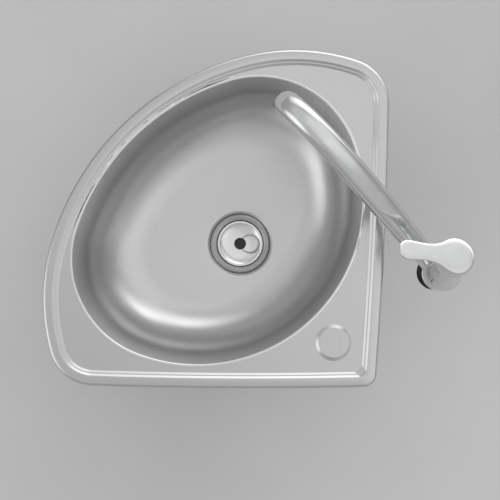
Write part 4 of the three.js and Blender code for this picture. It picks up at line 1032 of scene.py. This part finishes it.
def make_spout():
    sides, steps = 48, 110
    line = smooth_line(SPOUT_LINE, steps)
    rings = []
    places = [(middle, along, i / steps, 1.0) for i, (middle, along) in enumerate(line)]
    end, along = line[-1]
    places += [(end + along * 0.7, along, 1.0, 0.98), (end + along * 1.2, along, 1.0, 0.93)]
    for middle, along, share, scale in places:
        wide, above, below = [size * scale for size in spout_size(share)]
        ring = []
        for a in even_turns(sides):
            across, up = flat_oval(a)
            up *= above if up > 0 else below
            ring.append(mm(middle.x - along.y * up, wide * across, middle.y + along.x * up))
        rings.append(ring)
    arm = capped(pulled("arm", rings))
    collar = turned("spout_arm", eased([
        (20, 9.6), (COLLAR_RADIUS, 9.6, 0.9), (COLLAR_RADIUS, 37.6, 0.9), (20, 37.6)], 5))
    fused(collar, arm)
    cut(collar, rod("bore", 22, 8, 40))
    ready(placed(collar, SPOUT), "spout", "spout", WORN_CHROME)
    end, along = line[-1]
    outlet = SPOUT @ shift(end.x, 0, end.y) @ Matrix.Rotation(
        math.atan2(-along.x, -along.y), 4, "Y")
    housing = turned("aerator_ring", eased([
        (10, 1), (13, 1), (13, -1.3), (12.4, -1.3), (12.4, -1.9), (13, -1.9, 0.3),
        (13, -10, 0.8), (10.2, -10, 0.4), (10.2, -8.8)], 4))
    ready(placed(housing, outlet), "spout", "aerator_housing", CHROME)
    disc = turned("aerator_screen", eased([
        (0.9, -9.2), (9.9, -9.2, 0.3), (9.9, -6, 0.3), (0.9, -6)], 3), 64)
    off_edges = 2  # keeps the holes' corners off the disc's own edges
    for count, radius in ((6, 3.2), (12, 6.4)):
        for i in range(count):
            hole = rod("hole", 0.9, -12, -4, 16)
            cut(disc, placed(hole, turn(360 * i / count + off_edges, "Z"), shift(radius, 0, 0)))
    ready(placed(disc, outlet), "spout", "aerator_insert", BLACK)


def ball_line(radius, start, end, steps):
    """Points on a ball about the lift axis, from one angle below its top to another."""
    turns = [math.radians(start + (end - start) * i / steps) for i in range(steps + 1)]
    return [(radius * math.sin(t), LIFT_AXIS + radius * math.cos(t)) for t in turns]


def make_shroud():
    outer, inner, top_edge, foot = 23.3, 21.8, 54, 57.6
    edge, inner_edge = [math.degrees(math.acos((foot - LIFT_AXIS) / r)) for r in (outer, inner)]
    shroud = turned("head_ball", ball_line(outer, top_edge, edge, 20)
                    + ball_line(inner, inner_edge, top_edge, 20))
    ready(placed(shroud, HEAD), "root", "head_shroud", CHROME)


def make_lever():
    cap, neck, end, reach = 26.0, 11.6, 13.2, 79.0
    end_middle = reach - end
    leave = math.radians(52)

    def half_width(x):
        """The waist between the cap and the handle's round end."""
        start = Vector((cap * math.cos(leave), cap * math.sin(leave)))
        slope = -math.cos(leave) / math.sin(leave)
        waist = 41.0
        if x <= waist:
            s, span = (x - start.x) / (waist - start.x), waist - start.x
            return (start.y * (2 * s ** 3 - 3 * s * s + 1) + slope * span * (s ** 3 - 2 * s * s + s)
                    + neck * (3 * s * s - 2 * s ** 3))
        return neck + (end - neck) * blend((x - waist) / (end_middle - waist))

    half = []  # (point on the spine, point on the edge)
    for i in range(40):
        a = math.pi + (leave - math.pi) * i / 40
        edge = Vector((cap * math.cos(a), cap * math.sin(a)))
        half.append((Vector((max(0, edge.x), 0)), edge))
    start = cap * math.cos(leave)
    for i in range(50):
        x = start + (end_middle - start) * i / 50
        half.append((Vector((x, 0)), Vector((x, half_width(x)))))
    for i in range(21):
        a = math.pi / 2 * (1 - i / 20)
        half.append((Vector((end_middle, 0)),
                     Vector((end_middle + end * math.cos(a), end * math.sin(a)))))
    around = half + [(s, Vector((e.x, -e.y))) for s, e in half[-2:0:-1]]
    rise = math.tan(math.radians(9))

    def levels(x):
        """The widest level and the underside at a distance along the lever."""
        s = blend((x - 13) / 24)
        top = CAP_TOP + x * rise
        cap_low, cap_wide = 69.1, 69.6
        low = cap_low + (top - 6 - cap_low) * s
        wide = cap_wide + (top - 3 - cap_wide) * s
        return wide, low

    def ring(share, over):
        spots = []
        power = 10 if over else 2.6
        lift = (1 - share ** power) ** (1 / power)
        for spine, edge in around:
            spot = spine.lerp(edge, share)
            wide, low = levels(edge.x if edge.x < 0 else spine.x)
            top_here = CAP_TOP + spot.x * rise
            height = wide + (top_here - wide) * lift if over else wide - (wide - low) * lift
            spots.append(mm(spot.x, spot.y, height))
        return spots

    shares = [math.sin(math.pi / 2 * i / 16) for i in range(17)]
    rings = [ring(s, False) for s in shares] + [ring(s, True) for s in shares[-2::-1]]
    lever = pulled("lever_handle", rings)
    hollow = turned("hollow", [(0, CAP_TOP - 2.6), *ball_line(24, 34.4, 150, 40),
                               (0, LIFT_AXIS - 20.8)])
    cut(lever, hollow)
    ready(placed(lever, LEVER), "lever", "lever", CHROME)


def make_fixings():
    """The threaded shank, its nut and washers below the worktop, and the two inlets."""
    thread = thread_line(-59.4, -2, 1.5, [(15.9, 0), (16.5, 0.4), (16.5, 0.6), (15.9, 1.0)])
    shank = turned("threaded_shank", [(11, 11), (14, 11), (14, 1.2), (16.2, 1.2), (16.2, -1.5)]
                   + thread[::-1] + [(15.6, -60), (11, -60)])
    ready(placed(shank, TAP), "root", "shank", BRASS)
    top = washer("top_washer", 16.8, 26, -41, -WORKTOP, 0.7, 4)
    ready(placed(top, TAP), "root", "worktop_washer", RUBBER)
    plate = washer("plate_washer", 16.8, 26, -42.8, -41.1, 0.4)
    ready(placed(plate, TAP), "root", "backing_plate", ZINC)
    put_down()
    bpy.ops.mesh.primitive_cylinder_add(
        vertices=6, radius=0.044 / math.sqrt(3), depth=0.009, location=mm(0, 0, -47.6))
    nut = taken("hex_nut")
    bpy.ops.object.transform_apply(location=True, rotation=True, scale=True)
    chamfer = turned("chamfer", [(0, -53), (22.4, -53), (25.6, -51.2), (25.6, -44), (22.4, -42.2),
                                 (0, -42.2)])
    combined(nut, chamfer, "INTERSECT")
    drilled(nut, 16.8, -56, -40)
    softened(nut, 0.25, 2, 25)
    ready(placed(nut, TAP), "root", "fixing_nut", BRASS)
    for name, node, side in (("warm_inlet", "inlet_hot", 1), ("cold_inlet", "inlet_cold", -1)):
        inlet = turned(name, eased([
            (3.2, 3), (3.2, -15), (4.6, -15, 0.3), (4.8, -14, 0.3), (4.8, -9, 0.2), (4.3, -8.6),
            (4.3, -7.4), (4.8, -7, 0.2), (4.8, 11), (0, 11), (0, 3)], 3), 48)
        ready(placed(inlet, TAP, shift(0, side * 5.2, 0)), "root", node, BRASS)


def finish_kept_nodes():
    """Parts that sit inside the mixer's head keep their model's shape."""
    for node, finish in (("cartridge", WHITE), ("cartridge_nut", BRASS), ("cartridge_rotor", WHITE),
                         ("lift_pin", ZINC), ("lever_stem", BRASS), ("grub_screw", ZINC),
                         ("lever_plug", BLACK)):
        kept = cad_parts[node]
        kept.data.materials.clear()
        kept.data.materials.append(finish)


make_deck()
make_bowl()
make_sound_pad()
make_rim_seal()
make_clamps()
make_waste()
make_basket()
make_tap_body()
make_tap_seals()
make_spout()
make_shroud()
make_lever()
make_fixings()
finish_kept_nodes()


# ---- the studio ----

put_down()
FLOOR_HEIGHT = -0.264  # just under the waste's tailpiece
bpy.ops.mesh.primitive_plane_add(size=60, location=(0, 0, FLOOR_HEIGHT))
floor = taken("floor")
pale = Finish("pale_floor", (0.62, 0.62, 0.62), 0.7)
pale.tint(pale.noise(3, 3), (0.60, 0.60, 0.60), (0.64, 0.64, 0.64))
floor.data.materials.append(pale.material)


# Soft bright areas of the room: (azimuth, elevation, full within, gone beyond, brightness).
GLOWS = [
    (10, 62, 4, 46, 0.41),
    (72, 24, 4, 33, 1.10),
    (98, 20, 4, 28, 0.72),
    (197, 28, 4, 33, 0.90),
    (50, 2, 5, 40, 1.20),
    (235, 55, 4, 30, 0.15),
    (138, 62, 4, 34, 0.22),
    (-45, 36, 5, 42, 0.14),
]
HORIZON, ZENITH = 0.40, 0.47


def light_room():
    world = bpy.data.worlds.new("studio")
    bpy.context.scene.world = world
    world.use_nodes = True
    nodes, links = world.node_tree.nodes, world.node_tree.links
    direction = nodes.new("ShaderNodeTexCoord").outputs["Generated"]
    parts = nodes.new("ShaderNodeSeparateXYZ")
    links.new(direction, parts.inputs["Vector"])
    fade = nodes.new("ShaderNodeMapRange")
    fade.interpolation_type = "SMOOTHSTEP"
    links.new(parts.outputs["Z"], fade.inputs["Value"])
    fade.inputs["To Min"].default_value = HORIZON
    fade.inputs["To Max"].default_value = ZENITH
    total = fade.outputs["Result"]
    for azimuth, elevation, inner, outer, glow in GLOWS:
        a, e = math.radians(azimuth), math.radians(elevation)
        aim = nodes.new("ShaderNodeVectorMath")
        aim.operation = "DOT_PRODUCT"
        links.new(direction, aim.inputs[0])
        aim.inputs[1].default_value = (
            math.cos(a) * math.cos(e), math.sin(a) * math.cos(e), math.sin(e))
        edge = nodes.new("ShaderNodeMapRange")
        edge.interpolation_type = "SMOOTHERSTEP"
        links.new(aim.outputs["Value"], edge.inputs["Value"])
        for socket, value in (("From Min", math.cos(math.radians(outer))),
                              ("From Max", math.cos(math.radians(inner))), ("To Max", glow)):
            edge.inputs[socket].default_value = value
        both = nodes.new("ShaderNodeMath")
        links.new(total, both.inputs[0])
        links.new(edge.outputs["Result"], both.inputs[1])
        total = both.outputs["Value"]
    links.new(total, nodes["Background"].inputs["Strength"])
    nodes["Background"].inputs["Color"].default_value = (1, 1, 1, 1)


light_room()

CAMERA_LENS, CAMERA_SPOT, CAMERA_TURN = 72, (0.0163, -0.0099, 1.457), 0.026
camera_data = bpy.data.cameras.new("camera")
camera_data.lens = CAMERA_LENS
camera = bpy.data.objects.new("camera", camera_data)
camera.location = CAMERA_SPOT
camera.rotation_euler = (0, 0, CAMERA_TURN)
bpy.context.scene.collection.objects.link(camera)
bpy.context.scene.camera = camera
bpy.context.scene.view_settings.view_transform = "Standard"
